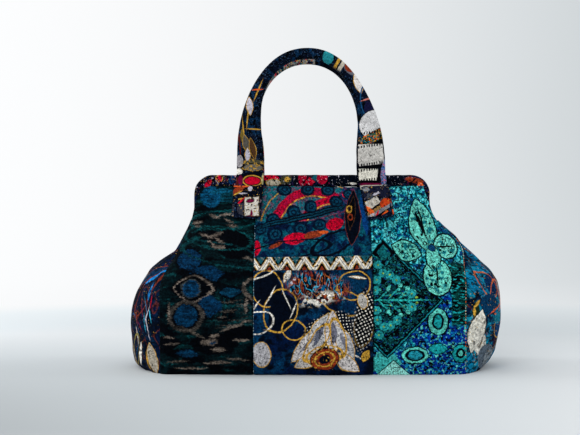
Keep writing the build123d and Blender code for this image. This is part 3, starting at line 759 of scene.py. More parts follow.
def panel_points(side, x_from, x_to, z_from, z_to, stand_off=0.0, tilt=0.0):
    """Grid over part of a panel; its edges are functions of the height."""
    rows = int((z_to - z_from) / STEP) + 1
    zs = np.linspace(z_from, z_to, rows)
    left = np.array([x_from(z) for z in zs])
    right = np.array([x_to(z) for z in zs])
    columns = int(np.max(right - left) / STEP) + 1
    share = np.linspace(0, 1, columns)
    x = left[:, None] + (right - left)[:, None] * share
    z = np.repeat(zs[:, None], columns, axis=1) + tilt * (x - x.mean())
    points = np.stack([x, side * panel_y(x, z), z], axis=2)
    relief = panel_relief(x, z, side) + stand_off
    points = displaced(points, relief, np.array([0, side, 0.3]))
    points[..., 2] = np.maximum(points[..., 2], 0.0)
    flat = np.stack([x, z, np.zeros_like(x)], axis=2)
    if side > 0:
        points, flat = points[:, ::-1], flat[:, ::-1]
    return points, flat


SEAM_ROOM = 0.15
patch_limits = {
    "left": (lambda z: -float(seam_x(z, -1)), lambda z: -PATCH_SEAM - SEAM_ROOM),
    "centre": (lambda z: -PATCH_SEAM + SEAM_ROOM, lambda z: PATCH_SEAM - SEAM_ROOM),
    "right": (lambda z: PATCH_SEAM + SEAM_ROOM, lambda z: float(seam_x(z, 1))),
}
front_looks = {
    "left": (ikat("ikat_velvet"), "ikat_velvet"),
    "centre": (peacock("petrol_velvet"), "petrol_velvet"),
    "right": (tilework("damask_velvet"), "damask_velvet"),
}
rear_looks = {
    "left": (tilework("damask_velvet_rear", -1, 30.0), "damask_velvet"),
    "centre": (peacock("petrol_velvet_rear", -1, 40.0), "petrol_velvet"),
    "right": (ikat("ikat_velvet_rear", -1, 20.0), "ikat_velvet"),
}
for side, side_name, looks in ((-1, "front", front_looks), (1, "rear", rear_looks)):
    for place, (x_from, x_to) in patch_limits.items():
        points, flat = panel_points(side, x_from, x_to, 0.0, PANEL_TOP)
        piece = grid_object(f"{side_name}_{place}_cloth", points, flat=flat)
        material, slot_name = looks[place]
        dress(piece, material, f"{side_name}_{place}_patch")
        turn_with(piece)

# Pocket and its braided band
POCKET_SEAM = PATCH_SEAM - 0.4
points, flat = panel_points(-1, lambda z: -POCKET_SEAM, lambda z: POCKET_SEAM, 1.5, POCKET_TOP + 2.0, 2.6)
pocket = grid_object("pocket_cloth", points, 2.0, flat=flat)
dress(pocket, leaves("pocket_velvet"), "front_pocket")
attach(pocket, "bag")

BAND_FOOT = POCKET_TOP - 1.0
BAND_TILT = 0.014
points, flat = panel_points(-1, lambda z: -POCKET_SEAM, lambda z: POCKET_SEAM, BAND_FOOT, BAND_TOP, 3.2, BAND_TILT)
rows_up = np.linspace(0, 1, points.shape[0])[:, None]
points[..., 1] -= 2.1 * np.sin(np.pi * rows_up) ** 0.6
flat[..., 1] -= BAND_TILT * flat[..., 0]
band = grid_object("pocket_band_cloth", points, 1.6, flat=flat)
dress(band, braid("braid", BAND_FOOT), "front_pocket_band")
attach(band, "bag")


# Gussets
def gusset_points(end):
    rows = int(GUSSET_TIP / STEP) + 1
    zs = np.linspace(0.0, GUSSET_TIP, rows)
    w = seam_x(zs, end) - 0.4
    d = seam_y(zs) - 3.9
    sagitta = np.clip(gusset_x(zs, end) - w, 0.8, 0.92 * d)
    radius = (d ** 2 + sagitta ** 2) / (2 * sagitta)
    half_angle = np.arcsin(np.clip(d / radius, -1, 1))
    turn = np.linspace(-1, 1, int(200 / STEP) + 1)
    angle = half_angle[:, None] * turn
    x = (w + sagitta - radius)[:, None] + radius[:, None] * np.cos(angle)
    y = radius[:, None] * np.sin(angle)
    z = np.repeat(zs[:, None], len(turn), axis=1)
    points = np.stack([end * x, y, z], axis=2)
    half_depth = np.maximum(d, 14)[:, None]
    spread = turn * half_depth
    high_up = ease((z - 84) / 50) * ease((GUSSET_TIP + 6 - z) / 26)
    relief = 1.4 * ripple(spread, z, 52, 2.0 + end) + 0.7 * ripple(spread, z, 19, 6.0 + end)
    fan = np.sin(turn * 12 + 4 * ripple(spread, z, 60, 9.0 + end))
    relief = relief + 1.7 * fan * high_up
    edge_gap = (1 - np.abs(turn)) * half_depth
    relief = relief + 1.0 * ripple(edge_gap * 0.3, z, 7.0, 4.0) * np.exp(-edge_gap / 9.0)
    relief = relief - 2.2 * np.exp(-((edge_gap / 3.0) ** 2)) * ease((HINGE - z) / 30)
    relief = relief + 0.8 * ripple(spread, z * 0.3, 11, 5.0) * np.exp(-z / 9.0)
    relief = (relief - 0.6) * ease((GUSSET_TIP - z) / 30) - 1.0 * ease((z - 150) / 30)
    points = displaced(points, relief, np.array([end, 0, 0.2]))
    points[..., 2] = np.maximum(points[..., 2], 0.0)
    flat = np.stack([spread, z, np.zeros_like(x)], axis=2)
    if end < 0:
        points, flat = points[:, ::-1], flat[:, ::-1]
    return points, flat


left_shapes = (
    ("line", -52, 96, 14, 34, 34, rgb(110, 44, 30)), ("line", -24, 40, 24, 30, 10, rgb(10, 60, 96)),
    # The two thin bright blue leaves at (-62, 122) and (-67, 100) are a painted highlight along a fold of the cloth;
    # the other shapes are print
    ("leaf", -40, 118, 6, 34, 58, rgb(8, 40, 70), RUST, 0.6), ("leaf", -62, 122, 3, 24, 52, rgb(20, 120, 190)),
    ("leaf", -67, 100, 2.6, 12, 8, rgb(20, 110, 176)), ("eye", -60, 84, 14, 0.7, 64, rgb(30, 110, 150)), ("eye", -66, 72, 14, 0.6, 108, LILAC),
    ("eye", -54, 74, 13, 0.6, 52, WINE), ("eye", -62, 62, 12, 0.9, 76, CYAN), ("eye", -50, 58, 12, 0.5, 44, WINE),
    ("eye", -72, 88, 9, 0.7, 96, CRIMSON), ("eye", -48, 88, 12, 0.6, 70, RUST), ("eye", -68, 56, 16, 0.8, 70, LILAC),
    ("eye", -40, 66, 13, 0.8, 60, RUST), ("eye", -44, 44, 12, 0.8, 74, CREAM), ("eye", -72, 70, 9, 0.8, 74, CYAN),
    ("leaf", -74, 18, 7, 20, -6, rgb(160, 152, 138), GOLD, 0.8), ("leaf", -66, 14, 1.6, 12, -6, GOLD), ("leaf", -52, 22, 3, 16, 14, CREAM, INK, 1.0),
    ("line", -40, 26, 9, 20, 14, rgb(120, 110, 60)), ("leaf", -24, 20, 6, 16, -14, rgb(120, 116, 112), GOLD, 0.9),
    ("leaf", 20, 60, 15, 34, -20, rgb(16, 66, 102), ORANGE, 1.0), ("leaf", 52, 96, 12, 26, 12, rgb(14, 56, 92), ORANGE, 1.0), ("oval", 8, 112, 12, 9, 0, rgb(12, 78, 108), GOLD, 0.8),
)
right_shapes = (
    ("oval", -40, 108, 16, 13, 20, rgb(4, 40, 78)), ("line", -50, 108, 14, 18, 20, rgb(190, 90, 50)), ("line", -38, 92, 14, 22, -14, rgb(190, 90, 50)),
    ("leaf", -26, 98, 5.5, 17, 10, rgb(120, 130, 140), ORANGE, 1.3), ("leaf", -20, 88, 3, 13, 0, ORANGE), ("oval", -54, 84, 16, 13, 0, rgb(4, 50, 84)),
    ("leaf", -76, 76, 5, 13, 0, rgb(24, 44, 30)), ("eye", -74, 86, 6, 2, 50, GOLD), ("eye", -78, 76, 1.9, 8, 0, GOLD), ("eye", -73, 70, 7, 1.7, 20, GOLD),
    ("eye", -40, 78, 18, 1.1, 20, ORANGE), ("eye", -20, 76, 9, 1.0, -12, ORANGE), ("oval", -32, 56, 12, 15, 0, rgb(4, 52, 96), GOLD, 0.9),
    ("oval", -34, 66, 14, 7, 10, rgb(10, 108, 130)), ("leaf", -74, 52, 11, 27, -14, rgb(212, 208, 196), INK, 1.4), ("leaf", -68, 36, 10, 20, 20, rgb(206, 202, 192)),
    ("oval", -50, 18, 20, 15, -20, rgb(84, 96, 108)), ("oval", -44, 16, 12, 10, 0, rgb(120, 130, 138)), ("eye", -26, 36, 1.0, 14, -30, GOLD),
    ("leaf", 16, 56, 15, 34, -10, rgb(8, 88, 116), ORANGE, 1.0), ("leaf", 50, 86, 12, 26, 16, rgb(110, 126, 132), ORANGE, 1.2), ("oval", 44, 30, 16, 14, 0, rgb(150, 150, 144), INK, 1.2),
    ("line", 0, 104, 22, 16, 0, GOLD),
)
end_looks = {
    -1: gusset_cloth("gusset_velvet_left", rgb(2, 11, 26), left_shapes, 3.0, rgb(4, 30, 56)),
    1: gusset_cloth("gusset_velvet_right", rgb(8, 110, 150), right_shapes, 17.0, rgb(20, 140, 170)),
}
for end, end_name in ((-1, "left"), (1, "right")):
    points, flat = gusset_points(end)
    piece = grid_object(f"{end_name}_gusset_cloth", points, flat=flat)
    dress(piece, end_looks[end], f"{end_name}_gusset")
    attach(piece, "bag")


# Inner pieces
def plan_loop(z, inset, count=160):
    """Closed outline of the space inside the outer cloth."""
    w_left = float(seam_x(z, -1)) - 2.3 - inset
    w_right = float(seam_x(z, 1)) - 2.3 - inset
    d = float(seam_y(z)) - 9.2 - inset
    middle = float(crown_y(z)) - 4.3 - inset
    t = np.linspace(-1, 1, count // 4, endpoint=False)
    long_x = np.where(t < 0, t * w_left, t * w_right)
    front = np.stack([long_x, -(middle + (d - middle) * t ** 2)], axis=1)
    back_x = np.where(t < 0, -t * w_right, -t * w_left)
    rear = np.stack([back_x, middle + (d - middle) * t ** 2], axis=1)
    ends = []
    for end, w in ((1, w_right), (-1, w_left)):
        bulge = max(float(gusset_x(z, end)) - 4.6 - inset - w, 0.3)
        ends.append(np.stack([end * (w + bulge * (1 - t ** 2)), end * t * d], axis=1))
    ring = np.concatenate([front, ends[0], rear, ends[1]])
    return np.concatenate([ring, np.full((len(ring), 1), z)], axis=1)


levels = np.linspace(BOARD_TOP + 0.6, LINING_TOP - 0.5, 56)
rings = [plan_loop(z, 0.0) for z in levels]
floor_rings = [rings[0] * np.array([share, share, 1]) for share in (0.02, 0.3, 0.6, 0.9)]
ring_points = np.stack(floor_rings + rings)
sway = np.abs(ripple(ring_points[..., 0] + ring_points[..., 1], ring_points[..., 2], 24, 5.0))
ring_points = ring_points * (1 - 0.013 * sway[..., None] * np.array([0.5, 1.0, 0.0]))
lining = grid_object("lining_cloth", ring_points, 0.6, close=True, levels=0)
lining_look = plain_cloth("lining_cloth", rgb(14, 40, 60), rgb(10, 30, 48), 30, 2.0)
dress(lining, lining_look, "lining")
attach(lining, "bag")

for side, side_name in ((-1, "front"), (1, "rear")):
    reach = high(f"{side_name}_facing")[0]
    points, flat = panel_points(side, lambda z: -reach, lambda z: reach, LINING_TOP - 6.0, PANEL_TOP - 0.6, -5.0)
    facing = grid_object(f"{side_name}_facing_cloth", points, 0.6, flat=flat)
    dress(facing, lining_look, f"{side_name}_facing")
    turn_with(facing)

# Base, seen from below
base_rings = [plan_loop(0.0, -2.0) * np.array([share, share, 0]) + np.array([0, 0, 0.4]) for share in np.linspace(0.02, 1.0, 40)]
base_points = np.stack(base_rings)
quilting = 0.5 * np.abs(np.sin(base_points[..., 0] / 12) * np.sin(base_points[..., 1] / 12))
base_points[..., 2] += quilting * ease((BASE_HALF_WIDTH - np.abs(base_points[..., 0])) / 30)
base = grid_object("base_cloth", base_points, 2.0, close=True, levels=0)
dress(base, plain_cloth("base_cloth", rgb(12, 16, 26), rgb(8, 12, 20), 20, 6.0), "base_panel")
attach(base, "bag")


# Casings: cloth tubes round the frame bars
def bar_path(count):
    """Centreline of a casing, from its left foot over the top to its right foot."""
    half = CASING_X - 6.4
    top = CASING_TOP - 6.4
    bend = 16.6
    legs = top - bend - LEG_END
    arc = math.pi * bend / 2
    total = 2 * legs + 2 * arc + 2 * (half - bend)
    out = []
    for s in np.linspace(0, total, count):
        mirrored = s > total / 2
        t = total - s if mirrored else s
        if t < legs:
            x, z, nx, nz = -half, LEG_END + t, -1.0, 0.0
        elif t < legs + arc:
            angle = (t - legs) / bend
            nx, nz = -math.cos(angle), math.sin(angle)
            x, z = -half + bend + bend * nx, top - bend + bend * nz
        else:
            x, z, nx, nz = -half + bend + (t - legs - arc), top, 0.0, 1.0
        out.append((-x, z, -nx, nz, s) if mirrored else (x, z, nx, nz, s))
    return out


def rounded(angle, wide, deep, square=0.55):
    """A point on a rounded-box section."""
    a, b = math.cos(angle), math.sin(angle)
    return wide * math.copysign(abs(a) ** square, a), deep * math.copysign(abs(b) ** square, b)


def casing_points(side):
    path = bar_path(170)
    around = 28
    points = np.zeros((len(path), around, 3))
    flat = np.zeros_like(points)
    middle = side * (CASING_BACK + CASING_FRONT) / 2
    for i, (x, z, nx, nz, s) in enumerate(path):
        for k in range(around):
            angle = 2 * math.pi * k / around
            a, b = rounded(angle, 6.5, 4.1)
            puff = 1 + 0.09 * noise.noise((s / 9, math.cos(angle) * 1.3, math.sin(angle) * 1.3 + side))
            crease = 0.35 * noise.noise((s / 3.1, 4.0, side)) * max(0.0, -side * b) / 4.1
            a, b = a * puff, b * puff + side * crease
            points[i, k] = (x + nx * a, middle + b, z + nz * a)
            flat[i, k] = (x + nx * a, z + nz * a, b)
    return points, flat


casing_shapes = (
    ("oval", -120, 242, 4, 4, 0, CRIMSON, GOLD, 0.8), ("oval", -134, 236, 6, 3, 50, CRIMSON), ("oval", -93, 241, 4, 4, 0, CRIMSON), ("oval", -104, 241, 4, 6, 0, rgb(8, 52, 100)),
    ("oval", -54, 243, 11, 3.4, 0, CRIMSON, INK, 1.0), ("oval", -50, 237, 9, 4, 0, rgb(170, 160, 140), GOLD, 1.0), ("oval", -34, 241, 8, 6, 20, rgb(60, 60, 44)),
    ("oval", -32, 241, 4, 3, 20, GOLD), ("oval", -21, 240, 4, 8, 0, INK), ("oval", -12, 241, 6, 8, 10, rgb(160, 8, 40)), ("slab", -3, 238, 7, 6, 0, CRIMSON, INK, 1.2),
    ("slab", 4, 243, 4, 5, 0, rgb(12, 84, 98)), ("oval", 13, 242, 7, 7, 0, rgb(160, 8, 40)), ("oval", 42, 241, 22, 9, 0, INK), ("oval", 52, 236, 5, 1.2, 0, CREAM),
    ("oval", 112, 239, 5, 1.4, 0, CREAM), ("oval", 132, 240, 12, 3.5, -10, RUST), ("oval", 140, 234, 4, 3.5, -40, ORANGE), ("oval", 106, 241, 12, 7, 0, INK),
)
casing = mosaic("casing_velvet", rgb(6, 16, 38), ((NAVY, 0.5, 2.2), (rgb(40, 24, 70), 0.30, 1.2), (rgb(140, 100, 60), 0.09, 0.5), (WINE, 0.22, 1.0), (BLACK, 0.40, 0.8)),
                6.0, 5.0, casing_shapes)
casing.blots(rgb(150, 120, 70), 2.4, 0.2, 0.02, (1, 1), 37.0, within=casing.area("box", -122, 236, 40, 16, 0, 2))
casing.blots(LILAC, 2.2, 0.12, 0.02, (1, 1), 39.0)
casing.blots(BLACK, 2.8, 0.32, 0.03, (1, 1), 41.0)
casing_material = casing.finish(0.35, 0.25)
for side, side_name in ((-1, "front"), (1, "rear")):
    points, flat = casing_points(side)
    tube = grid_object(f"{side_name}_casing_cloth", points, 1.0, flat=flat, close=True)
    dress(tube, casing_material, f"{side_name}_casing")
    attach(tube, f"{side_name}_frame")

# Handles: flat straps at the feet that roll into a round grip
FOOT_Z = PANEL_TOP + 0.6
ARCH_FOOT = FOOT_Z + 47.0
ARCH_RISE = HANDLE_TOP - 7.25 - ARCH_FOOT
RISE = ARCH_FOOT + ARCH_RISE - FOOT_Z
LEAN = 10.0 / RISE
STRAP_Y = 16.0
SQUARENESS = 2.14
ARCH_HALF = HALF_SPAN - 1.5


def leg_lean(z, side, end):
    """The front straps' feet splay a little."""
    splay = {(-1, -1): -0.04, (-1, 1): 0.13}.get((side, end), 0.02 * end)
    return splay * np.maximum(FOOT_Z + 16 - z, 0)


def handle_line(side, count):
    """Middle line of a handle, foot to foot: x, z, distance from the middle plane, height."""
    t = np.linspace(-1, 1, count)
    away = np.abs(t)
    end = np.where(t < 0, -1, 1)
    down = np.clip((away - 0.6) / 0.4, 0, 1)
    angle = math.pi / 2 * (1 - np.clip(away / 0.6, 0, 1))
    x = end * np.where(away > 0.6, ARCH_HALF + 1.5 * down, ARCH_HALF * np.cos(angle) ** (2 / SQUARENESS))
    z = np.where(away > 0.6, ARCH_FOOT - down * (ARCH_FOOT - TAB_FOOT - 1.0), ARCH_FOOT + ARCH_RISE * np.sin(angle) ** (2 / SQUARENESS))
    height = z - FOOT_Z
    top_shift = -4.8 if side < 0 else -4.2
    x = x * (1 + (0.0 if side < 0 else 0.045) * ease((height - 50) / 50))
    x = x - 1.5 + top_shift * ease((height - 20) / (0.75 * RISE))
    x = x + np.where(t < 0, leg_lean(z, side, -1), leg_lean(z, side, 1))
    reach = panel_y(x, z) + panel_relief(x, z, side) + 3.5
    sunk = ease(-height / 14.0)
    y = np.where(height > 0, STRAP_Y + LEAN * height, np.maximum(STRAP_Y * (1 - sunk) + reach * sunk, reach))
    return x, z, y, height


def handle_points(side):
    x, z, y, height = handle_line(side, 280)
    around = 32
    along = np.stack([np.gradient(x), np.gradient(z)], axis=1)
    along /= np.linalg.norm(along, axis=1, keepdims=True)
    travelled = np.concatenate([[0], np.cumsum(np.hypot(np.diff(x), np.diff(z)))])
    points = np.zeros((len(x), around, 3))
    flat = np.zeros_like(points)
    for i in range(len(x)):
        grip = float(ease((height[i] - 28.0) / 123.0))
        half_wide = 17.4 + (7.1 - 17.4) * grip
        half_deep = 4.2 + (7.8 - 4.2) * grip - 1.5 * float(ease(-height[i] / 12))
        nx, nz = along[i, 1], -along[i, 0]
        for k in range(around):
            angle = 2 * math.pi * k / around
            a, b = rounded(angle, half_wide, half_deep, 0.5 + 0.34 * grip)
            rumple = 0.35 * noise.noise((travelled[i] / 7, a / 9, side * 3.0)) + 0.35 * noise.noise((travelled[i] / 2.4, a / 20, side))
            groove = 0.55 * math.exp(-(((abs(a) - half_wide + 3.2) / 0.9) ** 2)) * (1 - grip)
            lift = rumple - groove if abs(b) > 0.4 * half_deep else 0.4 * rumple
            b = b + math.copysign(lift, b)
            a = a * (1 + 0.02 * noise.noise((travelled[i] / 11, 7.0, side)))
            points[i, k] = (x[i] + nx * a, side * y[i] + b, z[i] + nz * a)
            flat[i, k] = (x[i] + nx * a, z[i] + nz * a, b)
    return points, flat


SPECK = rgb(52, 76, 104)
left_leg = (
    ("eye", -69, 354, 16, 0.9, 67, GOLD), ("line", -96, 268, 4, 30, 0, rgb(80, 24, 20)), ("eye", -70, 355, 8, 0.9, 4, ORANGE), ("eye", -74, 305, 12, 0.9, -3, GOLD),
    ("eye", -88, 300, 1.0, 20, 4, GOLD), ("leaf", -80, 334, 4, 11.5, 4, LILAC, GOLD, 0.8), ("eye", -83, 318, 0.9, 12, -6, GOLD), ("eye", -90, 297, 2.4, 8, 0, rgb(110, 92, 40)),
    ("leaf", -84, 285, 4.5, 13, 16, rgb(84, 80, 74), GOLD, 0.6), ("leaf", -76, 280, 4, 14, 14, rgb(76, 50, 30), GOLD, 0.6), ("leaf", -83, 272, 3.6, 9, 0, LILAC, GOLD, 0.7),
    ("oval", -93, 264, 4.5, 8, 0, rgb(150, 146, 150), BLACK, 1.0), ("oval", -76, 262, 12, 4, 4, rgb(84, 80, 60)), ("oval", -76, 256, 12, 4.5, 0, rgb(104, 100, 92), BLACK, 1.2),
    ("oval", -94, 251, 4.5, 4, 0, CREAM, BLACK, 1.0), ("oval", -80, 247, 18, 3.2, 8, INK), ("oval", -77, 239, 13, 7.5, 0, GOLD, BLACK, 1.0), ("oval", -77, 239, 11.6, 6.2, 0, INK),
    ("oval", -77, 239, 10, 5, 0, CRIMSON), ("oval", -62, 240, 3, 9, 0, rgb(180, 172, 120)), ("oval", -92, 240, 3, 6, 0, WINE),
)
right_leg = (
    ("oval", 20, 396, 7, 9, 0, rgb(34, 130, 140)), ("box", 33, 391, 1.8, 9, -30, GOLD), ("box", 39, 388, 2.4, 10, -32, rgb(196, 186, 168)), ("oval", 48, 380, 9, 5, -38, rgb(96, 96, 104)),
    ("leaf", 46, 382, 4, 7, 40, RUST), ("leaf", 59, 365, 6, 15, 12, rgb(216, 210, 206), GOLD, 0.8), ("line", 76, 338, 14, 26, 12, rgb(24, 74, 116)), ("eye", 70, 343, 10, 1.0, 18, rgb(206, 120, 108)),
    ("leaf", 74, 330, 8, 12, 20, rgb(20, 20, 52)), ("oval", 92, 334, 7, 22, 14, rgb(196, 192, 190)), ("leaf", 89, 331, 2.6, 14, 12, GOLD, rgb(196, 192, 190), 1.0),
    ("oval", 80, 311, 20, 18, 20, rgb(208, 206, 206), BLACK, 1.0), ("box", 76, 298, 22, 3.0, 28, BLACK), ("box", 82, 296, 22, 5.4, 26, rgb(60, 80, 60)),
    ("box", 76, 288, 24, 4.2, 8, BLACK),
)
blocks = (
    ("box", 76, 271, 24, 15, 2, rgb(196, 192, 186)), ("box", 92, 276, 1.0, 12, 6, BLACK), ("box", 78, 257, 24, 2.6, 6, BLACK), ("box", 72, 247, 12.5, 7.5, 0, rgb(220, 216, 202)),
    ("box", 86.5, 250, 1.5, 14, -12, BLACK), ("leaf", 93, 250, 5, 20, -6, rgb(110, 120, 160)), ("box", 74, 237.6, 13, 2.0, 0, BLACK), ("box", 76, 234.5, 14, 1.6, 0, WINE),
    ("box", 76, 231, 18, 2.6, 2, rgb(186, 180, 168)),
)


def handle_look(name, seed, rear=False):
    """Navy speckle with gold stems on one leg, pale blocks with dark bands on the other."""
    ground = (rgb(8, 16, 34) if not rear else INK)
    c = mosaic(name, ground, ((rgb(8, 40, 70), 0.42, 2.0), (BLACK, 0.38, 1.0)), 7.0, seed)
    if rear:
        left = c.beyond(4, 300, 90, 1.0)
        c.lay(left, rgb(150, 146, 140))
        for colour, amount, shift in ((GOLD, 0.32, 3), (TEAL, 0.30, 7), (NAVY, 0.36, 11), (CRIMSON, 0.2, 15), (BLACK, 0.25, 19)):
            c.blots(colour, 3.6, amount, 0.03, (1, 1), seed + shift, within=left)
        return c.finish(0.35, 0.25)
    c.blots(SPECK, 1.8, 0.2, 0.02, (1, 1), seed + 9)
    c.blots(BLACK, 2.6, 0.26, 0.02, (1, 1), seed + 11)
    c.paint(left_leg + right_leg)
    dapple = c.area("box", 80, 296, 20, 6, 24, 1)
    for colour, amount, shift in ((GOLD, 0.4, 3), (ORANGE, 0.3, 7), (TEAL, 0.34, 11), (BLACK, 0.3, 15)):
        c.blots(colour, 2.8, amount, 0.02, (1, 1), seed + 20 + shift, within=dapple)
    c.blots(GOLD, 2.4, 0.34, 0.02, (1, 1), seed + 51, within=c.area("oval", -76, 259, 16, 8, 0, 2))
    c.paint(blocks)
    teeth = c.split(c.point)[0]
    jag = c.step(c.math("PINGPONG", teeth, 1.7), 0.7, 1.0)
    for height in (300.5, 283.6, 260.5, 253.4, 240.4):
        c.lay(jag, BLACK, c.area("box", 72, height, 12 if height < 250 else 17, 1.6, 8))
    mixed = c.area("leaf", 93, 250, 5, 20, -6, 0.5)
    for colour, amount, shift in ((rgb(40, 120, 190), 0.34, 3), (rgb(220, 96, 130), 0.30, 7), (BLACK, 0.25, 15)):
        c.blots(colour, 2.4, amount, 0.02, (1, 1), seed + 60 + shift, within=mixed)
    c.blots(BLACK, 2.0, 0.16, 0.02, (1, 1), seed + 81, strength=0.8)
    return c.finish(0.24, 0.24)


for side, side_name in ((-1, "front"), (1, "rear")):
    points, flat = handle_points(side)
    handle = grid_object(f"{side_name}_handle_cloth", points, 0, flat=flat, close=True)
    dress(handle, handle_look(f"handle_velvet_{side_name}", 7.0, side > 0), f"{side_name}_handle")
    turn_with(handle)

# Tabs over the handles' feet
left_tab = (
    ("box", -82, 221, 22, 8, 0, INK), ("eye", -90, 229, 12, 1.6, -4, ORANGE), ("oval", -94, 224, 8, 4, 20, RUST), ("eye", -95, 220, 7, 0.9, 24, GOLD),
    ("oval", -79, 225, 3, 3.4, 0, LILAC), ("eye", -88, 219, 6, 1.0, -4, LILAC), ("eye", -92, 212, 7, 1.0, 0, GOLD), ("leaf", -92, 207, 1.4, 11, -46, CRIMSON),
    ("box", -95, 198, 9, 8, 0, rgb(48, 50, 62)), ("eye", -94, 191, 9, 1.0, -3, GREY),
    ("box", -76, 202, 8.6, 11.5, 2, rgb(206, 200, 190), rgb(110, 90, 50), 0.7), ("oval", -78, 209, 4.6, 2.2, 10, WINE, BLACK, 0.7), ("oval", -76, 213, 1.2, 2.4, 0, BLACK),
    ("oval", -76, 193, 1.6, 5, 0, WINE), ("oval", -78, 189.5, 5, 1.8, 0, WINE), ("oval", -69, 210, 1.0, 1.0, 0, WINE), ("oval", -76, 204, 0.9, 1.2, 0, BLACK), ("oval", -80, 198, 1.6, 0.8, -20, BLACK),
    ("oval", -72, 196, 0.8, 0.8, 0, GOLD),
    ("box", 82, 222, 22, 8, 6, rgb(22, 26, 46)), ("oval", 68, 224, 5, 3, 0, GREY), ("oval", 84, 220, 1.8, 1.8, 0, LILAC), ("oval", 80, 218, 4, 1.4, 20, LILAC),
    ("oval", 72, 214, 4, 5, 0, rgb(60, 66, 76)), ("box", 76, 206, 9, 6, 30, rgb(190, 184, 174)), ("box", 82, 203, 24, 1.6, 34, BLACK), ("box", 86, 201, 24, 2.6, 32, rgb(140, 104, 60)),
    ("oval", 92, 206, 8, 6, 34, rgb(186, 60, 24), INK, 0.8), ("box", 84, 194, 20, 3.6, 30, rgb(118, 120, 128)), ("leaf", 72, 196, 3, 8, 40, ORANGE), ("oval", 76, 190, 5, 3, 0, LILAC),
    ("leaf", 80, 191, 1.2, 6, -20, CRIMSON), ("box", 92, 196, 20, 1.6, 32, BLACK), ("leaf", 95, 193, 4, 12, -66, rgb(222, 84, 30), INK, 0.8),
)
tab = mosaic("tab_velvet", rgb(12, 16, 34), ((NAVY, 0.5, 1.2), (rgb(96, 88, 104), 0.28, 0.5), (BLACK, 0.36, 0.6)), 7.0, 12.0, left_tab)
tab.blots(GOLD, 2.2, 0.14, 0.02, (1, 1), 33.0)
tab.blots(BLACK, 2.2, 0.22, 0.02, (1, 1), 35.0)
tab_material = tab.finish(0.26, 0.24)
for side, side_name in ((-1, "front"), (1, "rear")):
    for end, end_name in ((-1, "left"), (1, "right")):
        middle = end * HALF_SPAN - 1.5
        half = 19.4 if end < 0 else 17.8
        lean = lambda z: middle + float(leg_lean(np.array(z), side, end))
        narrow = lambda z: half - 0.03 * (PANEL_TOP - z)
        points, flat = panel_points(
            side, lambda z: lean(z) - narrow(z), lambda z: lean(z) + narrow(z),
            TAB_FOOT - 0.5, PANEL_TOP - 0.6, 8.2, 0.09 if (side, end) == (-1, 1) else 0.0,
        )
        rows, columns = points.shape[:2]
        u = np.abs(np.linspace(-1, 1, columns))[None, :]
        v = np.abs(np.linspace(-1, 1, rows))[:, None]
        rim = np.clip((np.maximum(u + 0 * v, v + 0 * u) - 0.86) / 0.14, 0, 1)
        points[..., 1] -= side * 3.0 * rim ** 2
        points[..., 2] = np.minimum(points[..., 2], PANEL_TOP + 1.6)
        piece = grid_object(f"{side_name}_{end_name}_tab_cloth", points, 1.6, flat=flat)
        dress(piece, tab_material, f"{side_name}_{end_name}_tab")
        turn_with(piece)

# Frame, rivets and board keep their solids
plated = steel("frame_steel", (0.55, 0.55, 0.56, 1), 0.38)
nickel = steel("rivet_steel", (0.72, 0.70, 0.67, 1), 0.24)
card = plain_cloth("board", rgb(120, 108, 92), rgb(104, 92, 78), 18, 3.0)
for node, material in (("front_frame_bar", plated), ("rear_frame_bar", plated), ("left_hinge_rivet", nickel),
                       ("right_hinge_rivet", nickel), ("base_board", card)):
    solid = frame["nodes"][node]
    solid.data.materials.clear()
    solid.data.materials.append(material)


# Stitches: short raised dashes along the seams
def stitch_row(name, line, length, gap, width, colours, side):
    """Dashes along a list of points (millimetres); side 0 rides on the bag alone."""
    line = np.array(line)
    reach = np.concatenate([[0], np.cumsum(np.linalg.norm(np.diff(line, axis=0), axis=1))])
    rng = np.random.default_rng(7)
    vertices = []
    faces = []
    s = gap
    while s + 1.4 * length < reach[-1]:
        this = length * (1 + 0.3 * rng.uniform(-1, 1))
        start, stop = (np.array([np.interp(v, reach, line[:, k]) for k in range(3)]) for v in (s, s + this))
        along = (stop - start) / max(np.linalg.norm(stop - start), 1e-9)
        first = np.cross(along, (1.0, 0.3, 0))
        first /= np.linalg.norm(first)
        second = np.cross(along, first)
        base_index = len(vertices)
        for share, size in ((0, 0.35), (0.3, 1.0), (0.7, 1.0), (1, 0.35)):
            point = start * (1 - share) + stop * share
            for k in range(6):
                angle = math.pi * k / 3
                vertices.append((point + (first * math.cos(angle) + second * math.sin(angle)) * width / 2 * size) * MM)
        for ring in range(3):
            for k in range(6):
                a = base_index + ring * 6 + k
                b = base_index + ring * 6 + (k + 1) % 6
                faces.append((a, b, b + 6, a + 6))
        faces.append(tuple(base_index + k for k in reversed(range(6))))
        faces.append(tuple(base_index + 18 + k for k in range(6)))
        s += this + gap * (1 + 0.5 * rng.uniform(-1, 1))
    mesh = bpy.data.meshes.new(name)
    mesh.from_pydata([tuple(v) for v in vertices], [], faces)
    attribute = mesh.attributes.new("cloth", "FLOAT_VECTOR", "POINT")
    flat = np.array(vertices)[:, [0, 2, 1]] / MM
    attribute.data.foreach_set("vector", np.ascontiguousarray(flat, np.float32).ravel())
    mesh.polygons.foreach_set("use_smooth", [True] * len(faces))
    piece = bpy.data.objects.new(name, mesh)
    bpy.context.scene.collection.objects.link(piece)
    thread = Cloth(name, colours[0])
    for number, colour in enumerate(colours[1:]):
        thread.blots(colour, 5.0, 0.4, 0.04, (1, 1), 3.0 + 4.0 * number)
    piece.data.materials.append(thread.finish(0.15, 0.2, 0.0, 0.6, 1.0, 0.2))
    if side:
        turn_with(piece)
    else:
        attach(piece, "bag")


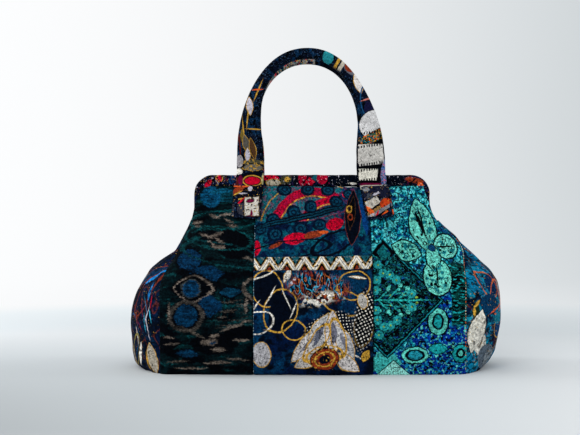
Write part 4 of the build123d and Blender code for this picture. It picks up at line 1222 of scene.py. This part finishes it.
def line_on_panel(x_at, z_from, z_to, side, off):
    """Points just over a panel's cloth, going up."""
    zs = np.arange(z_from, z_to, 1.5)
    spots = np.stack([np.array([x_at(z) + dx for z in zs]) for dx in (-0.5, 0, 0.5)], axis=1)
    tall = np.repeat(zs[:, None], 3, axis=1)
    points = np.stack([spots, side * panel_y(spots, tall), tall], axis=2)
    return displaced(points, panel_relief(spots, tall, side) + off, np.array([0, side, 0.3]))[:, 1]


WHITE_THREAD = rgb(196, 214, 220)
for side, side_name in ((-1, "front"), (1, "rear")):
    cool = (WHITE_THREAD, rgb(60, 160, 196), rgb(30, 110, 150), rgb(10, 50, 80))
    line = line_on_panel(lambda z: side * (PATCH_SEAM - 0.2), 2.0, TAB_FOOT - 2.0, side, 0.9)
    stitch_row(f"{side_name}_patch_stitches", line, 2.3, 1.2, 0.9, cool, side)
    warm = (rgb(200, 196, 180), rgb(150, 150, 120), rgb(30, 60, 60), ORANGE)
    line = line_on_panel(lambda z: -side * (float(seam_x(z, -side)) - 1.6), 4.0, 168.0, side, 1.2)
    stitch_row(f"{side_name}_gusset_stitches", line, 2.4, 1.6, 0.9, warm, side)


# Stage: a round pale floor that fades into a softly glowing cove, the same from every side; the floor's colour holds
# painted light and shade, darker at the front left, and the cove's glow is a painted light gradient, lighter to the
# left
# Painted light and shade of the floor (constant, x, y, x times y) and painted glow of the cove (constant, x, x squared)
FLOOR_PAINTED_LIGHT = (0.735, 0.22, 0.12, -0.85)
COVE_PAINTED_GLOW = (0.882, -0.155, -0.050)


def stage_mesh():
    bend = 0.6
    profile = [(0.05, 0.0), (0.5, 0.0), (1.0, 0.0), (1.5, 0.0), (2.0, 0.0)]
    for k in range(1, 17):
        angle = math.pi / 2 * k / 16
        profile.append((2.0 + bend * math.sin(angle), bend - bend * math.cos(angle)))
    profile += [(2.6, 1.4), (2.6, 2.6)]
    around = 96
    vertices = []
    for r, z in profile:
        vertices += [(r * math.cos(2 * math.pi * k / around), r * math.sin(2 * math.pi * k / around), z) for k in range(around)]
    faces = [tuple(range(around))]
    for ring in range(len(profile) - 1):
        for k in range(around):
            a, b = ring * around + k, ring * around + (k + 1) % around
            faces.append((a, a + around, b + around, b))
    mesh = bpy.data.meshes.new("stage")
    mesh.from_pydata(vertices, [], faces)
    mesh.polygons.foreach_set("use_smooth", [True] * len(faces))
    stage = bpy.data.objects.new("stage", mesh)
    bpy.context.scene.collection.objects.link(stage)
    c = Cloth("stage", (1, 1, 1, 1))
    place = c.tree.nodes.new("ShaderNodeNewGeometry").outputs["Position"]
    # Painted light: the floor's base colour is darker where less lamp light falls, the far cove glows by emission with
    # a painted gradient, and the darker shares are tinted bluer
    far = c.step(c.vector("LENGTH", place), 0.5, 1.25)
    x, y, _ = c.split(c.vector("MINIMUM", c.vector("MAXIMUM", place, (-1.1, -0.45, 0)), (1.1, 0.4, 1)))
    floor = c.math("MULTIPLY_ADD", x, FLOOR_PAINTED_LIGHT[1], c.math("MULTIPLY_ADD", y, FLOOR_PAINTED_LIGHT[2], FLOOR_PAINTED_LIGHT[0]))
    floor = c.math("MULTIPLY_ADD", c.math("MULTIPLY", x, y), FLOOR_PAINTED_LIGHT[3], floor)
    floor = c.math("MINIMUM", c.math("MAXIMUM", floor, 0.3), 0.95)
    cove = c.math("MULTIPLY_ADD", c.math("MULTIPLY", x, x), COVE_PAINTED_GLOW[2], c.math("MULTIPLY_ADD", x, COVE_PAINTED_GLOW[1], COVE_PAINTED_GLOW[0]))
    for share, socket in ((c.math("MULTIPLY", floor, c.math("SUBTRACT", 1.0, far)), "Base Color"), (c.math("MULTIPLY", cove, far), "Emission Color")):
        tint = c.node("ShaderNodeMix", {"data_type": "RGBA"}, Factor=c.step(share, 0.62, 0.98))
        tint.inputs[6].default_value = (0.93, 0.99, 1.02, 1)
        tint.inputs[7].default_value = (0.99, 1.0, 1.01, 1)
        scaled = c.tree.nodes.new("ShaderNodeVectorMath")
        scaled.operation = "SCALE"
        c.tree.links.new(tint.outputs[2], scaled.inputs[0])
        c.tree.links.new(share, scaled.inputs["Scale"])
        c.tree.links.new(scaled.outputs[0], c.shader.inputs[socket])
    c.shader.inputs["Emission Strength"].default_value = 1.0
    c.shader.inputs["Roughness"].default_value = 0.9
    c.shader.inputs["Specular IOR Level"].default_value = 0.0
    mesh.materials.append(c.material)
    return stage


stage_mesh()


def area_light(name, place, target, size, power, colour=(1, 1, 1)):
    lamp = bpy.data.lights.new(name, "AREA")
    lamp.shape = "RECTANGLE"
    lamp.size, lamp.size_y = size
    lamp.energy = power
    lamp.color = colour
    holder = bpy.data.objects.new(name, lamp)
    holder.location = place
    holder.rotation_euler = (Vector(target) - Vector(place)).to_track_quat("-Z", "Y").to_euler()
    bpy.context.scene.collection.objects.link(holder)


area_light("top", (-0.1, 0.15, 1.9), (0, 0.05, 0), (1.8, 1.4), 9)
area_light("front", (-0.7, -1.9, 1.3), (0, 0, 0.15), (1.2, 0.9), 13)
area_light("left_strip", (-1.3, 0.25, 0.9), (0, 0, 0.2), (0.4, 0.9), 5)
area_light("right_strip", (1.4, 0.1, 0.9), (0, 0, 0.2), (0.4, 0.9), 4)

world = bpy.data.worlds.new("studio")
world.use_nodes = True
world.node_tree.nodes["Background"].inputs[0].default_value = (0.9, 0.95, 1.0, 1)
world.node_tree.nodes["Background"].inputs[1].default_value = 0.2
bpy.context.scene.world = world

# Camera: level, at the height of the frame's hinge, 1.5 m in front of the middle plane
FOCAL_PIXELS = 1154.0
camera_data = bpy.data.cameras.new("camera")
camera_data.sensor_width = 36.0
camera_data.lens = 36.0 * FOCAL_PIXELS / 580.0
camera_data.clip_end = 20
camera = bpy.data.objects.new("camera", camera_data)
camera.location = (-0.0285, -1.5, 0.192)
camera.rotation_euler = (math.pi / 2, 0, 0)
bpy.context.scene.collection.objects.link(camera)
bpy.context.scene.camera = camera
bpy.context.scene.view_settings.view_transform = "Standard"
